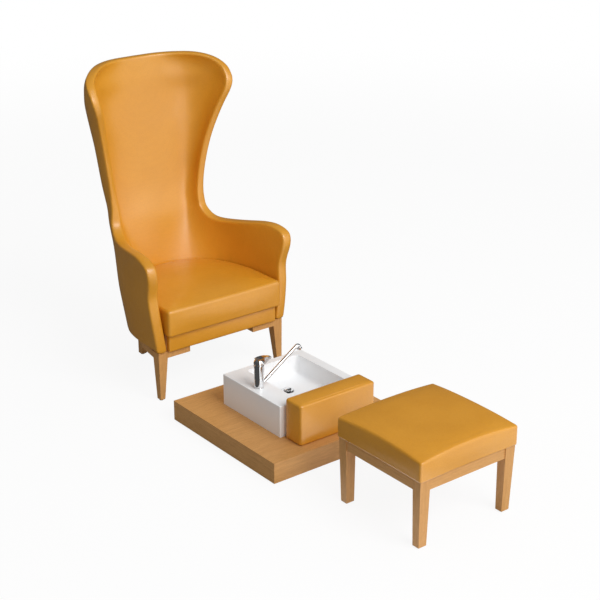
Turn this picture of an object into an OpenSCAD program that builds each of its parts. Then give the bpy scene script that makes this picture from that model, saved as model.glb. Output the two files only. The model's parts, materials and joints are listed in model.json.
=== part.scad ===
// Pedicure bench: a wing chair, a basin on a low plinth with a footrest pad, and a stool.
// Millimetres, +Z up, floor at zero. The chair faces -Y and its middle plane is x = 0.

/* [Chair] */
// Overall width of the shell across the arms
chair_w = 834; // [780:1:900]
// Depth from the arm fronts to the back of the top edge
chair_d = 724; // [680:1:780]
// Height of the top edge above the floor
chair_h = 1490; // [1400:1:1600]
// Height of the legs, up to the underside of the shell
chair_leg_h = 245; // [230:1:256]
// Thickness of the padded shell wall
shell_wall = 54; // [46:1:60]
// How far the rounded rim of the shell bulges
rim_round = 13; // [8:1:18]
// Width of a front leg at its top
chair_leg_w = 50; // [44:1:56]
// Depth of a front leg at its top
chair_leg_d = 47; // [42:1:54]
// Width of a front foot on the floor
chair_foot_w = 26; // [22:1:34]
// Depth of a front foot on the floor
chair_foot_d = 29; // [24:1:34]
// Height of the wooden corner blocks under the shell
block_h = 33; // [26:1:38]
// Length of a front corner block, leg included
front_block_l = 177; // [150:1:200]
// Length of a side corner block, leg included
side_block_l = 185; // [160:1:210]
// Distance between the outer faces of the rear legs
rear_legs_w = 290; // [276:1:310]
// Gap between the plinth and the arm fronts
chair_gap = 204; // [180:1:260]

/* [Chair seat] */
// Height of the seat frame inside the shell
seat_frame_h = 82; // [76:1:88]
// Thickness of the seat frame rails
seat_rail_t = 58; // [50:1:64]
// Thickness of the covered front rail
front_cover_t = 25; // [20:1:30]
// Half the width of the seat cushion at its front
seat_half_w = 326; // [318:1:328]
// How far the seat cushion stands in front of the arms
seat_nose = 42; // [34:1:50]
// Height of the seat cushion's edge
seat_edge_h = 136; // [126:1:146]
// Rise of the seat cushion's middle over its edge
seat_crown = 20; // [12:1:28]

/* [Plinth] */
// Width of the plinth
plinth_w = 755; // [735:1:800]
// Depth of the plinth
plinth_d = 767; // [747:1:800]
// Height of the plinth
plinth_h = 99; // [97:1:110]
// Thickness of the plinth's top board
plinth_top_t = 18; // [16:1:20]
// Thickness of the plinth's side panels
plinth_panel_t = 18; // [16:1:22]

/* [Basin] */
// Width of the basin
basin_w = 448; // [438:1:460]
// Depth of the basin, front to back
basin_d = 428; // [420:1:440]
// Height of the basin
basin_h = 149; // [145:1:160]
// Distance from the plinth's front edge to the basin
basin_front = 174; // [172:1:184]
// Sideways shift of the basin on the plinth
basin_shift = 10; // [0:1:20]
// Width of the tap deck on the basin's left
deck_w = 108; // [102:1:116]
// Width of the basin's right rim
rim_right = 47; // [42:1:52]
// Width of the basin's front and back rims
rim_back = 36; // [32:1:42]
// Depth of the bowl
bowl_h = 91; // [84:1:94]
// Radius in the corners and along the floor of the bowl
bowl_r = 18; // [12:1:24]
// Rounding of the basin's outer edges
basin_r = 4; // [2:1:6]
// Thickness of the ceramic
ceramic_t = 12; // [10:1:14]

/* [Tap] */
// Diameter of the tap's body
tap_d = 44; // [42:1:48]
// Height of the swivel collar's top above the deck
collar_h = 50; // [46:1:54]
// Height of the body's top above the deck
tap_body_h = 106; // [104:1:112]
// Diameter of the spout tube
spout_d = 16; // [14:1:18]
// Distance from the tap's axis to the spout's outlet
spout_reach = 226; // [210:1:236]
// Rise of the spout above the horizontal, in degrees
spout_rise = 34; // [32:1:36]
// Length of the mixer lever from the tap's axis
lever_l = 67; // [62:1:74]

/* [Waste] */
// Diameter of the waste's flange in the bowl
flange_d = 62; // [58:1:68]
// Diameter of the push plug
plug_d = 40; // [36:1:44]
// Travel of the push plug
plug_travel = 6; // [4:0.5:6.5]
// Outside diameter of the waste pipe
waste_pipe_d = 40; // [38:1:42]

/* [Footrest] */
// Width of the footrest pad
rest_w = 418; // [404:1:432]
// Depth of the footrest pad
rest_d = 106; // [98:1:112]
// Height of the footrest pad
rest_h = 196; // [184:1:206]
// Distance from the plinth's front edge to the pad
rest_front = 53; // [49:1:57]
// Sideways shift of the pad on the plinth
rest_shift = 12; // [0:1:20]

/* [Stool] */
// Width of the stool across the leg tops
stool_w = 513; // [500:1:540]
// Depth of the stool across the leg tops
stool_d = 490; // [480:1:510]
// Height of the stool's legs
stool_leg_h = 301; // [290:1:320]
// Width of a stool leg at its top
stool_leg_w = 52; // [48:1:58]
// Depth of a stool leg at its top
stool_leg_d = 45; // [42:1:52]
// Width of a stool foot on the floor
stool_foot_w = 41; // [34:1:44]
// Depth of a stool foot on the floor
stool_foot_d = 35; // [30:1:40]
// Height of the rails between the legs
apron_h = 49; // [42:1:58]
// How far the cushion overhangs the legs
cushion_lap = 6; // [4:1:10]
// Height of the stool cushion's corners
cushion_edge_h = 87; // [78:1:95]
// Rise of the middle of each edge over the corners
cushion_arch = 17; // [8:1:22]
// Rise of the cushion's middle over its edges
cushion_crown = 6; // [2:1:12]
// Gap between the stool's rear feet and the plinth
stool_gap = 281; // [260:1:320]
// Sideways shift of the stool against the plinth
stool_shift = 5; // [0:1:12]

/* [Hidden] */

over = 1;                 // overrun of every cut
touch = 0.3;              // clearance of soft forms and of sliding bodies
running = 0.05;           // radial clearance of a shaft in its bore
glide_d = 20;             // plastic glides under the feet
glide_h = 3;
foot_chamfer = 3;
screw_d = 8;
screw_head_d = 14;
screw_head_h = 5;

// The set runs along Y: stool, plinth, chair. The origin is in the middle of its whole length.
stool_lean = 8;           // how far a stool leg's outer faces draw in towards the floor
set_front = -(stool_gap + stool_d - stool_lean + cushion_lap);
set_rear = plinth_d + chair_gap + chair_d;
set_mid = (set_front + set_rear) / 2;
chair_y = plinth_d + chair_gap - set_mid;
plinth_y = -set_mid;
plinth_x = (plinth_w - chair_w) / 2;
basin_x = plinth_x + basin_shift;
basin_y = plinth_y + basin_front;
stool_x = plinth_x + stool_shift;
stool_y = plinth_y - stool_gap + stool_lean - stool_d / 2;
rest_x = plinth_x + rest_shift;
rest_y = plinth_y + rest_front + rest_d / 2;

leather = [0.80, 0.53, 0.14];
oak = [0.72, 0.54, 0.33];
ply = [0.80, 0.68, 0.50];
ceramic = [0.93, 0.93, 0.92];
chrome = [0.80, 0.81, 0.83];
zinc = [0.62, 0.63, 0.65];
brass_tone = [0.73, 0.60, 0.30];
pipe_white = [0.88, 0.88, 0.86];
black_cloth = [0.12, 0.12, 0.13];
web_tone = [0.32, 0.28, 0.24];
rubber_tone = [0.10, 0.10, 0.10];

// Maths shared by the lofted forms

function unit(v) = v / norm(v);
function mirrored(p) = [-p[0], p[1], p[2]];
function reversed(list) = [for (i = [len(list) - 1:-1:0]) list[i]];
function signed_pow(v, p) = sign(v) * pow(abs(v), p);

// A smooth curve through the rows of a table, whose first column is the place along it
function row_before(t, s) =
    let(below = [for (i = [0:len(t) - 2]) if (i == 0 || t[i][0] <= s) i]) below[len(below) - 1];
function row_slope(t, i) =
    let(a = max(i - 1, 0), b = min(i + 1, len(t) - 1)) (t[b] - t[a]) / (t[b][0] - t[a][0]);
function along(t, s) =
    let(i = row_before(t, s), h = t[i + 1][0] - t[i][0], u = (s - t[i][0]) / h,
        u2 = u * u, u3 = u2 * u)
    (2 * u3 - 3 * u2 + 1) * t[i] + (u3 - 2 * u2 + u) * h * row_slope(t, i)
    + (3 * u2 - 2 * u3) * t[i + 1] + (u3 - u2) * h * row_slope(t, i + 1);
function bezier(a, b, c, d, t) =
    pow(1 - t, 3) * a + 3 * pow(1 - t, 2) * t * b + 3 * (1 - t) * t * t * c + pow(t, 3) * d;

// Faces of a tube of closed rings, each of n points, listed from bottom to top
function ring_faces(rings, n) = [
    for (k = [0:rings - 2]) for (i = [0:n - 1])
        let(a = k * n + i, b = k * n + (i + 1) % n, c = a + n, d = b + n)
        each [[a, c, b], [b, c, d]]];

// The wing shell. Every level is one curve in plan: from the arm's front edge to the wing's
// edge, and from there to the middle of the back. The tables give these lines against height,
// all as shares of the chair's height, half width and depth.
half_w = chair_w / 2;
shell_z = chair_leg_h;
arm_front_shares = [
    [0.16, 0.890, -0.011], [0.22, 0.922, -0.010], [0.29, 0.952, -0.002], [0.35, 0.966, 0.011],
    [0.38, 0.973, -0.002], [0.41, 0.986, -0.018], [0.43, 0.993, -0.019], [0.445, 0.997, -0.010],
    [0.46, 0.994, 0.020], [0.49, 0.975, 0.090]];
wing_edge_shares = [
    [0.16, 0.685, 0.552], [0.25, 0.680, 0.612], [0.32, 0.676, 0.658], [0.40, 0.676, 0.692],
    [0.48, 0.673, 0.714], [0.53, 0.648, 0.718], [0.585, 0.652, 0.716], [0.65, 0.683, 0.706],
    [0.718, 0.734, 0.688], [0.782, 0.796, 0.657], [0.845, 0.870, 0.618], [0.875, 0.912, 0.596],
    [0.905, 0.944, 0.586], [0.930, 0.958, 0.601], [0.954, 0.958, 0.645], [1.0, 0.958, 0.685]];
wing_turn_shares = [
    [0.16, 0.50, 0.39], [0.32, 0.56, 0.45], [0.48, 0.84, 0.52], [0.60, 1.14, 0.52],
    [0.75, 1.17, 0.455], [0.87, 1.04, 0.48], [0.93, 1.02, 0.39], [1.0, 0.50, 0.42]];
back_line_shares = [
    [0.16, 0.757], [0.32, 0.812], [0.48, 0.866], [0.60, 0.911], [0.75, 0.949], [0.87, 0.977],
    [1.0, 0.999]];
arm_reach_share = 0.35;   // reach of the arm curve's handles over its chord
arm_top_shares = [
    [0, 0.455], [0.06, 0.463], [0.15, 0.469], [0.30, 0.469], [0.50, 0.461], [0.70, 0.453],
    [0.85, 0.451], [0.94, 0.459], [1, 0.482]];
wing_top_shares = [
    [0, 0.956], [0.05, 0.971], [0.10, 0.982], [0.17, 0.991], [0.25, 0.997], [0.35, 1.0],
    [0.5, 1.0], [0.75, 0.998], [1, 0.996]];
wall_shares = [           // the wall is thinner above the arms
    [0.16, 1], [0.30, 1], [0.45, 1], [0.48, 0.97], [0.53, 0.80], [0.58, 0.70], [0.68, 0.68],
    [0.80, 0.72], [0.90, 0.78], [1, 0.80]];
arm_cols = 9;             // columns of an arm, before the wing's edge
wing_cols = 13;           // columns from the wing's edge to the middle of the back
low_rows = 12;            // rows up to the arm's top
high_rows = 17;           // rows above it, along the wing's edge
rim_steps = 6;            // facets across the rounded rim
rim_square_share = 0.62;  // 1 is a half round rim, less is squarer

function plan_size(s) = [s[1] * half_w, s[2] * chair_d];
function wing_dir(z) = let(a = along(wing_turn_shares, z / chair_h)[1] * 90) [-cos(a), sin(a)];
function wing_reach(z) = along(wing_turn_shares, z / chair_h)[2];
function wing_point(z, t) =
    let(a = plan_size(along(wing_edge_shares, z / chair_h)),
        b = [0, along(back_line_shares, z / chair_h)[1] * chair_d],
        k = wing_reach(z) * norm(a - b))
    bezier(a, a + k * wing_dir(z), b + [k, 0], b, t);
function arm_point(z, t) =
    let(f = plan_size(along(arm_front_shares, z / chair_h)),
        a = plan_size(along(wing_edge_shares, z / chair_h)),
        k = arm_reach_share * norm(a - f), d = unit([a[0] - f[0], 3 * (a[1] - f[1])]))
    bezier(f, f + k * d, a - k * wing_dir(z), a, t);
// Places on the half shell: u runs 0 to 1 over the arm and 1 to 2 over the wing and back
function shell_plan(z, u) = u < 1 ? arm_point(z, u) : wing_point(z, u - 1);
slight = 0.01;
function plan_normal(z, u) =
    let(a = shell_plan(z, max(u - slight, 0)), b = shell_plan(z, min(u + slight, 2)),
        n = unit([b[1] - a[1], a[0] - b[0]])) u == 2 ? [0, 1] : n;
function inside(z, u, depth) = shell_plan(z, u) - depth * plan_normal(z, u);

arm_u = [for (i = [0:arm_cols - 1]) i / arm_cols];
wing_u = [for (i = [0:wing_cols - 1]) 1 + i / (wing_cols - 1)];
tall_rows = low_rows + high_rows - 1;
function arm_top(u) = along(arm_top_shares, u)[1] * chair_h;
function wing_top(u) = along(wing_top_shares, u - 1)[1] * chair_h;
function wall_share(z) = along(wall_shares, z / chair_h)[1];
function column_heights(u) = u < 1
    ? [for (k = [0:low_rows - 1]) shell_z + (arm_top(u) - shell_z) * k / (low_rows - 1)]
    : [for (k = [0:low_rows - 1]) shell_z + (arm_top(1) - shell_z) * k / (low_rows - 1),
       for (k = [1:high_rows - 1]) arm_top(1) + (wing_top(u) - arm_top(1)) * k / (high_rows - 1)];
function shell_column(u, depth) =
    [for (z = column_heights(u)) [each inside(z, u, depth * wall_share(z)), z]];
function both_sides(right) =
    concat(right, [for (i = [len(right) - 2:-1:0]) [for (p = right[i]) mirrored(p)]]);
half_u = concat(arm_u, wing_u);
columns = 2 * len(half_u) - 1;
wing_end = columns - arm_cols - 1;
function rows_of(c) = (c < arm_cols || c > wing_end) ? low_rows : tall_rows;
outer_cols = both_sides([for (u = half_u) shell_column(u, 0)]);
inner_cols = both_sides([for (u = half_u) shell_column(u, shell_wall)]);
function first_of(c) =
    c <= arm_cols ? c * low_rows
    : c <= wing_end + 1 ? arm_cols * low_rows + (c - arm_cols) * tall_rows
    : arm_cols * low_rows + (wing_end + 1 - arm_cols) * tall_rows + (c - wing_end - 1) * low_rows;
face_points = first_of(columns);

// The free edge, from the foot of the right arm over the top to the foot of the left one
edge_half = [
    for (r = [0:low_rows - 1]) [0, r],
    for (c = [1:arm_cols - 1]) [c, low_rows - 1],
    for (r = [low_rows - 1:tall_rows - 1]) [arm_cols, r],
    for (c = [arm_cols + 1:arm_cols + wing_cols - 1]) [c, tall_rows - 1]];
edge = concat(edge_half, [for (i = [len(edge_half) - 2:-1:0])
    [columns - 1 - edge_half[i][0], edge_half[i][1]]]);
edge_line = [for (e = edge) outer_cols[e[0]][e[1]]];
function edge_tangent(i) =
    edge_line[min(i + 1, len(edge) - 1)] - edge_line[max(i - 1, 0)];
function edge_across(i) =
    let(o = outer_cols[edge[i][0]][edge[i][1]], n = inner_cols[edge[i][0]][edge[i][1]]) o - n;
edge_out = [for (i = [0:len(edge) - 1])
    let(d = unit(cross(edge_across(i), edge_tangent(i))))
    (i == 0 || i == len(edge) - 1) ? unit([d[0], d[1], 0]) : d];
function edge_at(c, r) = [for (i = [0:len(edge) - 1]) if (edge[i][0] == c && edge[i][1] == r) i];
function drawn_in(cols) = [for (c = [0:columns - 1]) for (r = [0:rows_of(c) - 1])
    let(i = edge_at(c, r)) len(i) > 0 ? cols[c][r] - rim_round * edge_out[i[0]] : cols[c][r]];
outer_points = drawn_in(outer_cols);
inner_points = drawn_in(inner_cols);
rim_points = [for (i = [0:len(edge) - 1]) for (k = [1:rim_steps - 1])
    let(a = outer_points[first_of(edge[i][0]) + edge[i][1]],
        b = inner_points[first_of(edge[i][0]) + edge[i][1]], turn = 180 * k / rim_steps)
    (a + b) / 2 + signed_pow(cos(turn), rim_square_share) * (a - b) / 2
    + pow(sin(turn), rim_square_share) * rim_round * edge_out[i]];
function rim_index(i, k) =
    k == 0 ? first_of(edge[i][0]) + edge[i][1]
    : k == rim_steps ? face_points + first_of(edge[i][0]) + edge[i][1]
    : 2 * face_points + i * (rim_steps - 1) + k - 1;
shell_faces = [
    for (c = [0:columns - 2]) for (r = [0:min(rows_of(c), rows_of(c + 1)) - 2])
        let(a = first_of(c) + r, b = first_of(c + 1) + r, n = face_points)
        each [[a, a + 1, b], [b, a + 1, b + 1],
              [n + a, n + b, n + a + 1], [n + b, n + b + 1, n + a + 1]],
    for (c = [0:columns - 2])
        let(a = first_of(c), b = first_of(c + 1), n = face_points)
        each [[a, b, n + a], [b, n + b, n + a]],
    for (i = [0:len(edge) - 2]) for (k = [0:rim_steps - 1])
        let(a = rim_index(i, k), b = rim_index(i + 1, k), c = rim_index(i, k + 1),
            d = rim_index(i + 1, k + 1))
        each [[a, c, b], [b, c, d]],
    for (k = [1:rim_steps - 1]) [rim_index(0, 0), rim_index(0, k + 1), rim_index(0, k)],
    for (k = [1:rim_steps - 1])
        let(i = len(edge) - 1) [rim_index(i, 0), rim_index(i, k), rim_index(i, k + 1)]];

module chair_shell() {
    color(leather) translate([0, chair_y, 0])
        polyhedron(concat(outer_points, inner_points, rim_points), shell_faces);
}

// The seat inside the shell. Its parts follow the inside of the shell at their own height.
seat_rail_z = shell_z + seat_frame_h;
web_t = 2;
web_w = 60;
seat_z = seat_rail_z + web_t + touch;
seat_top = seat_z + seat_edge_h;
seat_gap = 4;             // from the cushion's sides to the shell
seat_edge_r = 9;
seat_bulge = 7;           // of the cushion's front face
seat_sides_u = [for (i = [2:10]) i / 10, for (i = [1:8]) 1 + i / 8];

// Half outline at one height, kept a depth inside the shell and behind a front line
function seat_side(z, depth, front, widest) = [
    for (u = seat_sides_u) let(p = inside(z, u, shell_wall + depth))
        [min(p[0], widest), max(p[1], front)]];
function frame_outline(depth, front) =
    let(side = seat_side(shell_z, depth, front, half_w), start = [side[0][0] + touch, front])
    concat([start], side, [for (p = reversed(side)) if (p[0] > touch) [-p[0], p[1]]],
           [[-start[0], start[1]]]);
module frame_ring(depth, wide, front, h) {
    difference() {
        linear_extrude(h) polygon(frame_outline(depth, front));
        translate([0, 0, -over])
            linear_extrude(h + 2 * over) polygon(frame_outline(depth + wide, front + wide));
    }
}
front_rail_y = 8;         // front face of the seat frame, behind the arm fronts
module seat_frame() {
    color(ply) translate([0, chair_y, shell_z]) difference() {
        frame_ring(touch, seat_rail_t, front_rail_y, seat_frame_h);
        for (p = bolt_places)
            translate([p[0], p[1], -over]) cylinder(d = screw_d, h = bolt_bite + over, $fn = 24);
    }
}
front_cover_in = 14;      // from the seat cushion's sides to the covered rail's
front_cover_half = seat_half_w - front_cover_in;
cover_r = 6;
module seat_front_cover() {
    y = chair_y + front_rail_y - front_cover_t;
    color(leather) translate([0, y, shell_z]) intersection() {
        translate([-front_cover_half, 0, 0])
            cube([2 * front_cover_half, front_cover_t - touch / 3, seat_frame_h + web_t]);
        rotate([0, 90, 0]) translate([0, 0, -front_cover_half - over])
            linear_extrude(2 * (front_cover_half + over))
                translate([-seat_frame_h - web_t, 0]) rounded_front(seat_frame_h + web_t,
                                                                   front_cover_t, cover_r);
    }
}
// A rectangle whose two corners on the near side are round
module rounded_front(w, d, r) {
    translate([r, 0]) square([w - 2 * r, d]);
    translate([0, r]) square([w, d - r]);
    for (x = [r, w - r]) translate([x, r]) circle(r, $fn = 32);
}
web_count = 5;
module seat_webbing() {
    reach = half_w - shell_wall - seat_rail_t;
    pitch = 2 * reach / (web_count + 1);
    color(web_tone) translate([0, chair_y, seat_rail_z]) intersection() {
        union() {
            for (i = [1:web_count]) translate([-reach + i * pitch - web_w / 2, 0, 0])
                cube([web_w, chair_d, web_t]);
            for (i = [1:web_count - 1]) translate([-half_w, i * web_w * 3 / 2 + web_w / 2, 0])
                cube([chair_w, web_w, web_t]);
        }
        linear_extrude(web_t) polygon(frame_outline(seat_rail_t / 3, front_rail_y + over));
    }
}
cover_lap = 7;            // of the dust cloth under the seat frame
dust_t = 1;
module dust_cover() {
    inset = seat_rail_t - cover_lap;
    color(black_cloth) translate([0, chair_y, shell_z - dust_t])
        linear_extrude(dust_t) polygon(frame_outline(inset, front_rail_y + inset));
}

// The seat cushion: rings of one outline from its underside over the edge to the crown
nose_cols = 6;            // columns across each half of the front face
nose_r_share = 0.28;      // rounding of its two front corners, of the nose
function nose_line(inset, out) =
    let(x = seat_half_w - inset, y = -seat_nose + inset, r = seat_nose * nose_r_share)
    concat([for (i = [0:nose_cols]) let(s = i / nose_cols)
               [(x - r) * s, y - out * (1 - s * s * s)]],
           [for (a = [30, 60]) [x - r + r * sin(a), y + r - r * cos(a)]],
           [[x, y + r]]);
function seat_half_ring(z, inset, out) =
    concat(nose_line(inset, out), seat_side(z, seat_gap + inset, -seat_nose, seat_half_w - inset));
function seat_ring(z, inset, out) =
    let(h = seat_half_ring(z, inset, out), n = len(h))
    [for (p = h) [p[0], p[1], z], for (i = [n - 2:-1:1]) [-h[i][0], h[i][1], z]];
seat_middle_share = 0.32;
seat_middle = [0, chair_d * seat_middle_share];
function seat_crown_ring(share) =
    [for (p = seat_ring(seat_top, seat_edge_r, 0))
        [seat_middle[0] + (p[0] - seat_middle[0]) * share,
         seat_middle[1] + (p[1] - seat_middle[1]) * share,
         seat_top + seat_crown * (1 - pow(share, 2.4))]];
seat_levels_shares = [[0, 1, 0], [0.012, 0.35, 0.3], [0.05, 0, 0.55], [0.25, 0, 0.9],
    [0.55, 0, 1], [0.8, 0, 0.8], [0.93, 0.06, 0.35], [0.98, 0.4, 0.1]];
seat_rings = [
    for (l = seat_levels_shares)
        seat_ring(seat_z + seat_edge_h * l[0], seat_edge_r * l[1], seat_bulge * l[2]),
    for (share = [1, 0.85, 0.66, 0.45, 0.22]) seat_crown_ring(share)];
module soft_form(rings, low, high) {
    n = len(rings[0]);
    count = len(rings);
    points = [for (r = rings) each r, low, high];
    last = (count - 1) * n;
    polyhedron(points, concat(ring_faces(count, n),
        [for (i = [0:n - 1]) [count * n, i, (i + 1) % n]],
        [for (i = [0:n - 1]) [count * n + 1, last + (i + 1) % n, last + i]]));
}
module seat_cushion() {
    color(leather) translate([0, chair_y, 0]) soft_form(seat_rings,
        [each seat_middle, seat_z], [each seat_middle, seat_top + seat_crown]);
}

// A four-sided post whose faces lean: levels are [x low, x high, y low, y high, z]
module post(levels) {
    points = [for (l = levels) each
        [[l[0], l[2], l[4]], [l[1], l[2], l[4]], [l[1], l[3], l[4]], [l[0], l[3], l[4]]]];
    n = len(levels) * 4;
    polyhedron(points, concat(ring_faces(len(levels), 4), [[0, 1, 2], [0, 2, 3]],
        [[n - 4, n - 2, n - 3], [n - 4, n - 1, n - 2]]));
}
module glide(h) {
    cylinder(d = glide_d, h = h, $fn = 32);
}

// Chair legs and blocks. The front legs stand under the arm fronts.
leg_in = 55;              // from the widest arm line to the front legs' outer faces
front_leg_x = half_w - leg_in;
leg_draw = 2;             // how far a front leg's outer face draws in towards the floor
block_z = chair_leg_h - block_h;
module chair_front_leg() {
    x = front_leg_x;
    foot = [x - leg_draw - chair_foot_w, x - leg_draw, 0, chair_foot_d];
    c = foot_chamfer;
    post([[foot[0] + c, foot[1] - c, foot[2] + c, foot[3] - c, glide_h],
          [each foot, glide_h + c],
          [x - chair_leg_w, x, 0, chair_leg_d, block_z],
          [x - chair_leg_w, x, 0, chair_leg_d, chair_leg_h]]);
}
module chair_front_leg_right() {
    color(oak) translate([0, chair_y, 0]) chair_front_leg();
}
module chair_front_leg_left() {
    color(oak) translate([0, chair_y, 0]) mirror([1, 0, 0]) chair_front_leg();
}
rear_leg_w = 48;
rear_leg_in = 7;          // from the shell's back to the rear legs
rear_leg_y = chair_d * back_line_shares[0][1] - rear_leg_in - rear_leg_w;
rear_foot_w = 30;
module chair_rear_leg() {
    x = rear_legs_w / 2;
    y = rear_leg_y;
    c = foot_chamfer;
    foot = [x - rear_foot_w, x, y + rear_leg_w - rear_foot_w, y + rear_leg_w];
    post([[foot[0] + c, foot[1] - c, foot[2] + c, foot[3] - c, glide_h],
          [each foot, glide_h + c],
          [x - rear_leg_w, x, y, y + rear_leg_w, block_z],
          [x - rear_leg_w, x, y, y + rear_leg_w, chair_leg_h]]);
}
module chair_rear_leg_right() {
    color(oak) translate([0, chair_y, 0]) chair_rear_leg();
}
module chair_rear_leg_left() {
    color(oak) translate([0, chair_y, 0]) mirror([1, 0, 0]) chair_rear_leg();
}
side_block_w = 72;
side_block_in = [11, 22]; // how far a side block turns in, halfway and at its end
bolt_line = 78;           // from the front legs' outer faces to the side blocks' bolts
bolt_bite = 30;           // length of a bolt in the seat frame
bolt_in = 24;             // from a block's end to its bolt
bolt_back = 8;            // how far the front blocks' bolts sit behind their middle
block_mid_y = chair_leg_d / 2 + bolt_back;
block_bolts = [
    [front_leg_x - chair_leg_w - bolt_in, block_mid_y],
    [front_leg_x - front_block_l + bolt_in, block_mid_y],
    [front_leg_x - bolt_line, chair_leg_d + bolt_in],
    [front_leg_x - bolt_line, side_block_l - bolt_in]];
rear_rail_in = 46;        // how far the rear rail reaches forward of the rear legs
rear_bolts = [[rear_legs_w / 6, rear_leg_y - rear_rail_in / 2]];
bolt_places = [for (b = concat(block_bolts, rear_bolts)) for (s = [-1, 1]) [s * b[0], b[1]]];
module bolt_hole(p, depth) {
    translate([p[0], p[1], -over]) cylinder(d = screw_d, h = depth + 2 * over, $fn = 24);
    translate([p[0], p[1], -over]) cylinder(d = screw_head_d, h = screw_head_h + over, $fn = 32);
}
module front_block() {
    difference() {
        translate([front_leg_x - front_block_l, 0, 0])
            cube([front_block_l - chair_leg_w, chair_leg_d, block_h]);
        for (i = [0, 1]) bolt_hole(block_bolts[i], block_h);
    }
}
module side_block() {
    x = front_leg_x;
    difference() {
        linear_extrude(block_h) polygon([
            [x - side_block_in[1] - side_block_w, chair_leg_d], [x, chair_leg_d],
            [x - side_block_in[0], (chair_leg_d + side_block_l) / 2],
            [x - side_block_in[1], side_block_l],
            [x - side_block_in[1] - side_block_w, side_block_l]]);
        for (i = [2, 3]) bolt_hole(block_bolts[i], block_h);
    }
}
module chair_front_blocks() {
    color(oak) translate([0, chair_y, block_z])
        for (s = [0, 1]) mirror([s, 0, 0]) front_block();
}
module chair_side_blocks() {
    color(oak) translate([0, chair_y, block_z])
        for (s = [0, 1]) mirror([s, 0, 0]) side_block();
}
module chair_rear_rail() {
    inner = rear_legs_w - 2 * rear_leg_w;
    color(oak) translate([0, chair_y, block_z]) difference() {
        translate([-inner / 2, rear_leg_y - rear_rail_in, 0])
            cube([inner, rear_rail_in + rear_leg_w * 2 / 3, block_h]);
        for (s = [-1, 1]) bolt_hole([s * rear_bolts[0][0], rear_bolts[0][1]], block_h);
    }
}
module chair_bolts() {
    color(zinc) translate([0, chair_y, block_z]) for (p = bolt_places)
        translate([p[0], p[1], 0]) {
            cylinder(d = screw_head_d - 2 * touch, h = screw_head_h, $fn = 32);
            cylinder(d = screw_d, h = block_h + bolt_bite, $fn = 24);
        }
}
module chair_glides() {
    fx = front_leg_x - leg_draw - chair_foot_w / 2;
    rx = rear_legs_w / 2 - rear_foot_w / 2;
    ry = rear_leg_y + rear_leg_w - rear_foot_w / 2;
    color(black_cloth) translate([0, chair_y, 0])
        for (p = [[fx, chair_foot_d / 2], [rx, ry]]) for (s = [-1, 1])
            translate([s * p[0], p[1], 0]) glide(glide_h);
}

// Stool frame: four leaning legs, four rails, corner blocks and the seat board
apron_t = 22;
apron_back = 5;           // how far the rails sit behind the legs' faces
apron_z = stool_leg_h - apron_h;
board_t = 12;
board_in = 16;            // from the cushion's edge to the seat board
module stool_leg(sx, sy) {
    w = stool_w / 2;
    d = stool_d / 2;
    a = stool_lean;
    c = foot_chamfer / 2;
    foot = [w - a - stool_foot_w, w - a, d - a - stool_foot_d, d - a];
    color(oak) translate([stool_x, stool_y, 0])
        mirror([sx, 0, 0]) mirror([0, sy, 0])
            post([[foot[0] + c, foot[1] - c, foot[2] + c, foot[3] - c, glide_h],
                  [each foot, glide_h + c],
                  [w - stool_leg_w, w, d - stool_leg_d, d, stool_leg_h]]);
}
module stool_leg_front_left() { stool_leg(1, 1); }
module stool_leg_front_right() { stool_leg(0, 1); }
module stool_leg_rear_left() { stool_leg(1, 0); }
module stool_leg_rear_right() { stool_leg(0, 0); }
// The legs taper, so a rail's ends are cut along the legs' inner faces
function leg_inner(full, top, foot, z) =
    full / 2 - top - (stool_leg_h - z) / (stool_leg_h - glide_h) * (foot + stool_lean - top);
module apron(full, top, foot) {
    a = leg_inner(full, top, foot, apron_z);
    b = leg_inner(full, top, foot, stool_leg_h);
    rotate([90, 0, 0]) linear_extrude(apron_t)
        polygon([[-a, apron_z], [a, apron_z], [b, stool_leg_h], [-b, stool_leg_h]]);
}
module apron_wide(side) {
    color(oak) translate([stool_x, stool_y, 0]) mirror([0, side, 0])
        translate([0, stool_d / 2 - apron_back, 0]) apron(stool_w, stool_leg_w, stool_foot_w);
}
module apron_deep(side) {
    color(oak) translate([stool_x, stool_y, 0]) mirror([side, 0, 0]) rotate(-90)
        translate([0, stool_w / 2 - apron_back, 0]) apron(stool_d, stool_leg_d, stool_foot_d);
}
module stool_apron_front() { apron_wide(1); }
module stool_apron_rear() { apron_wide(0); }
module stool_apron_left() { apron_deep(1); }
module stool_apron_right() { apron_deep(0); }
corner_leg = 62;          // legs of a corner block's triangle, beyond the stool's leg
corner_h = 22;
corner_x = stool_w / 2 - apron_back - apron_t - touch;
corner_y = stool_d / 2 - apron_back - apron_t - touch;
corner_screw_in = 44;
corner_screw = [corner_x - corner_screw_in, corner_y - corner_screw_in];
module stool_corner_blocks() {
    cut_x = stool_w / 2 - stool_leg_w - touch;
    cut_y = stool_d / 2 - stool_leg_d - touch;
    color(ply) translate([stool_x, stool_y, stool_leg_h - corner_h])
        for (sx = [0, 1]) for (sy = [0, 1]) mirror([sx, 0, 0]) mirror([0, sy, 0]) difference() {
            linear_extrude(corner_h) polygon([[cut_x, corner_y], [cut_x, cut_y],
                [corner_x, cut_y], [corner_x, cut_y - corner_leg / 2],
                [cut_x - corner_leg / 2, corner_y]]);
            translate([corner_screw[0], corner_screw[1], -over])
                cylinder(d = stool_screw_d, h = corner_h + 2 * over, $fn = 24);
        }
}
stool_screw_d = 5;
stool_screw_head = 10;
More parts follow.
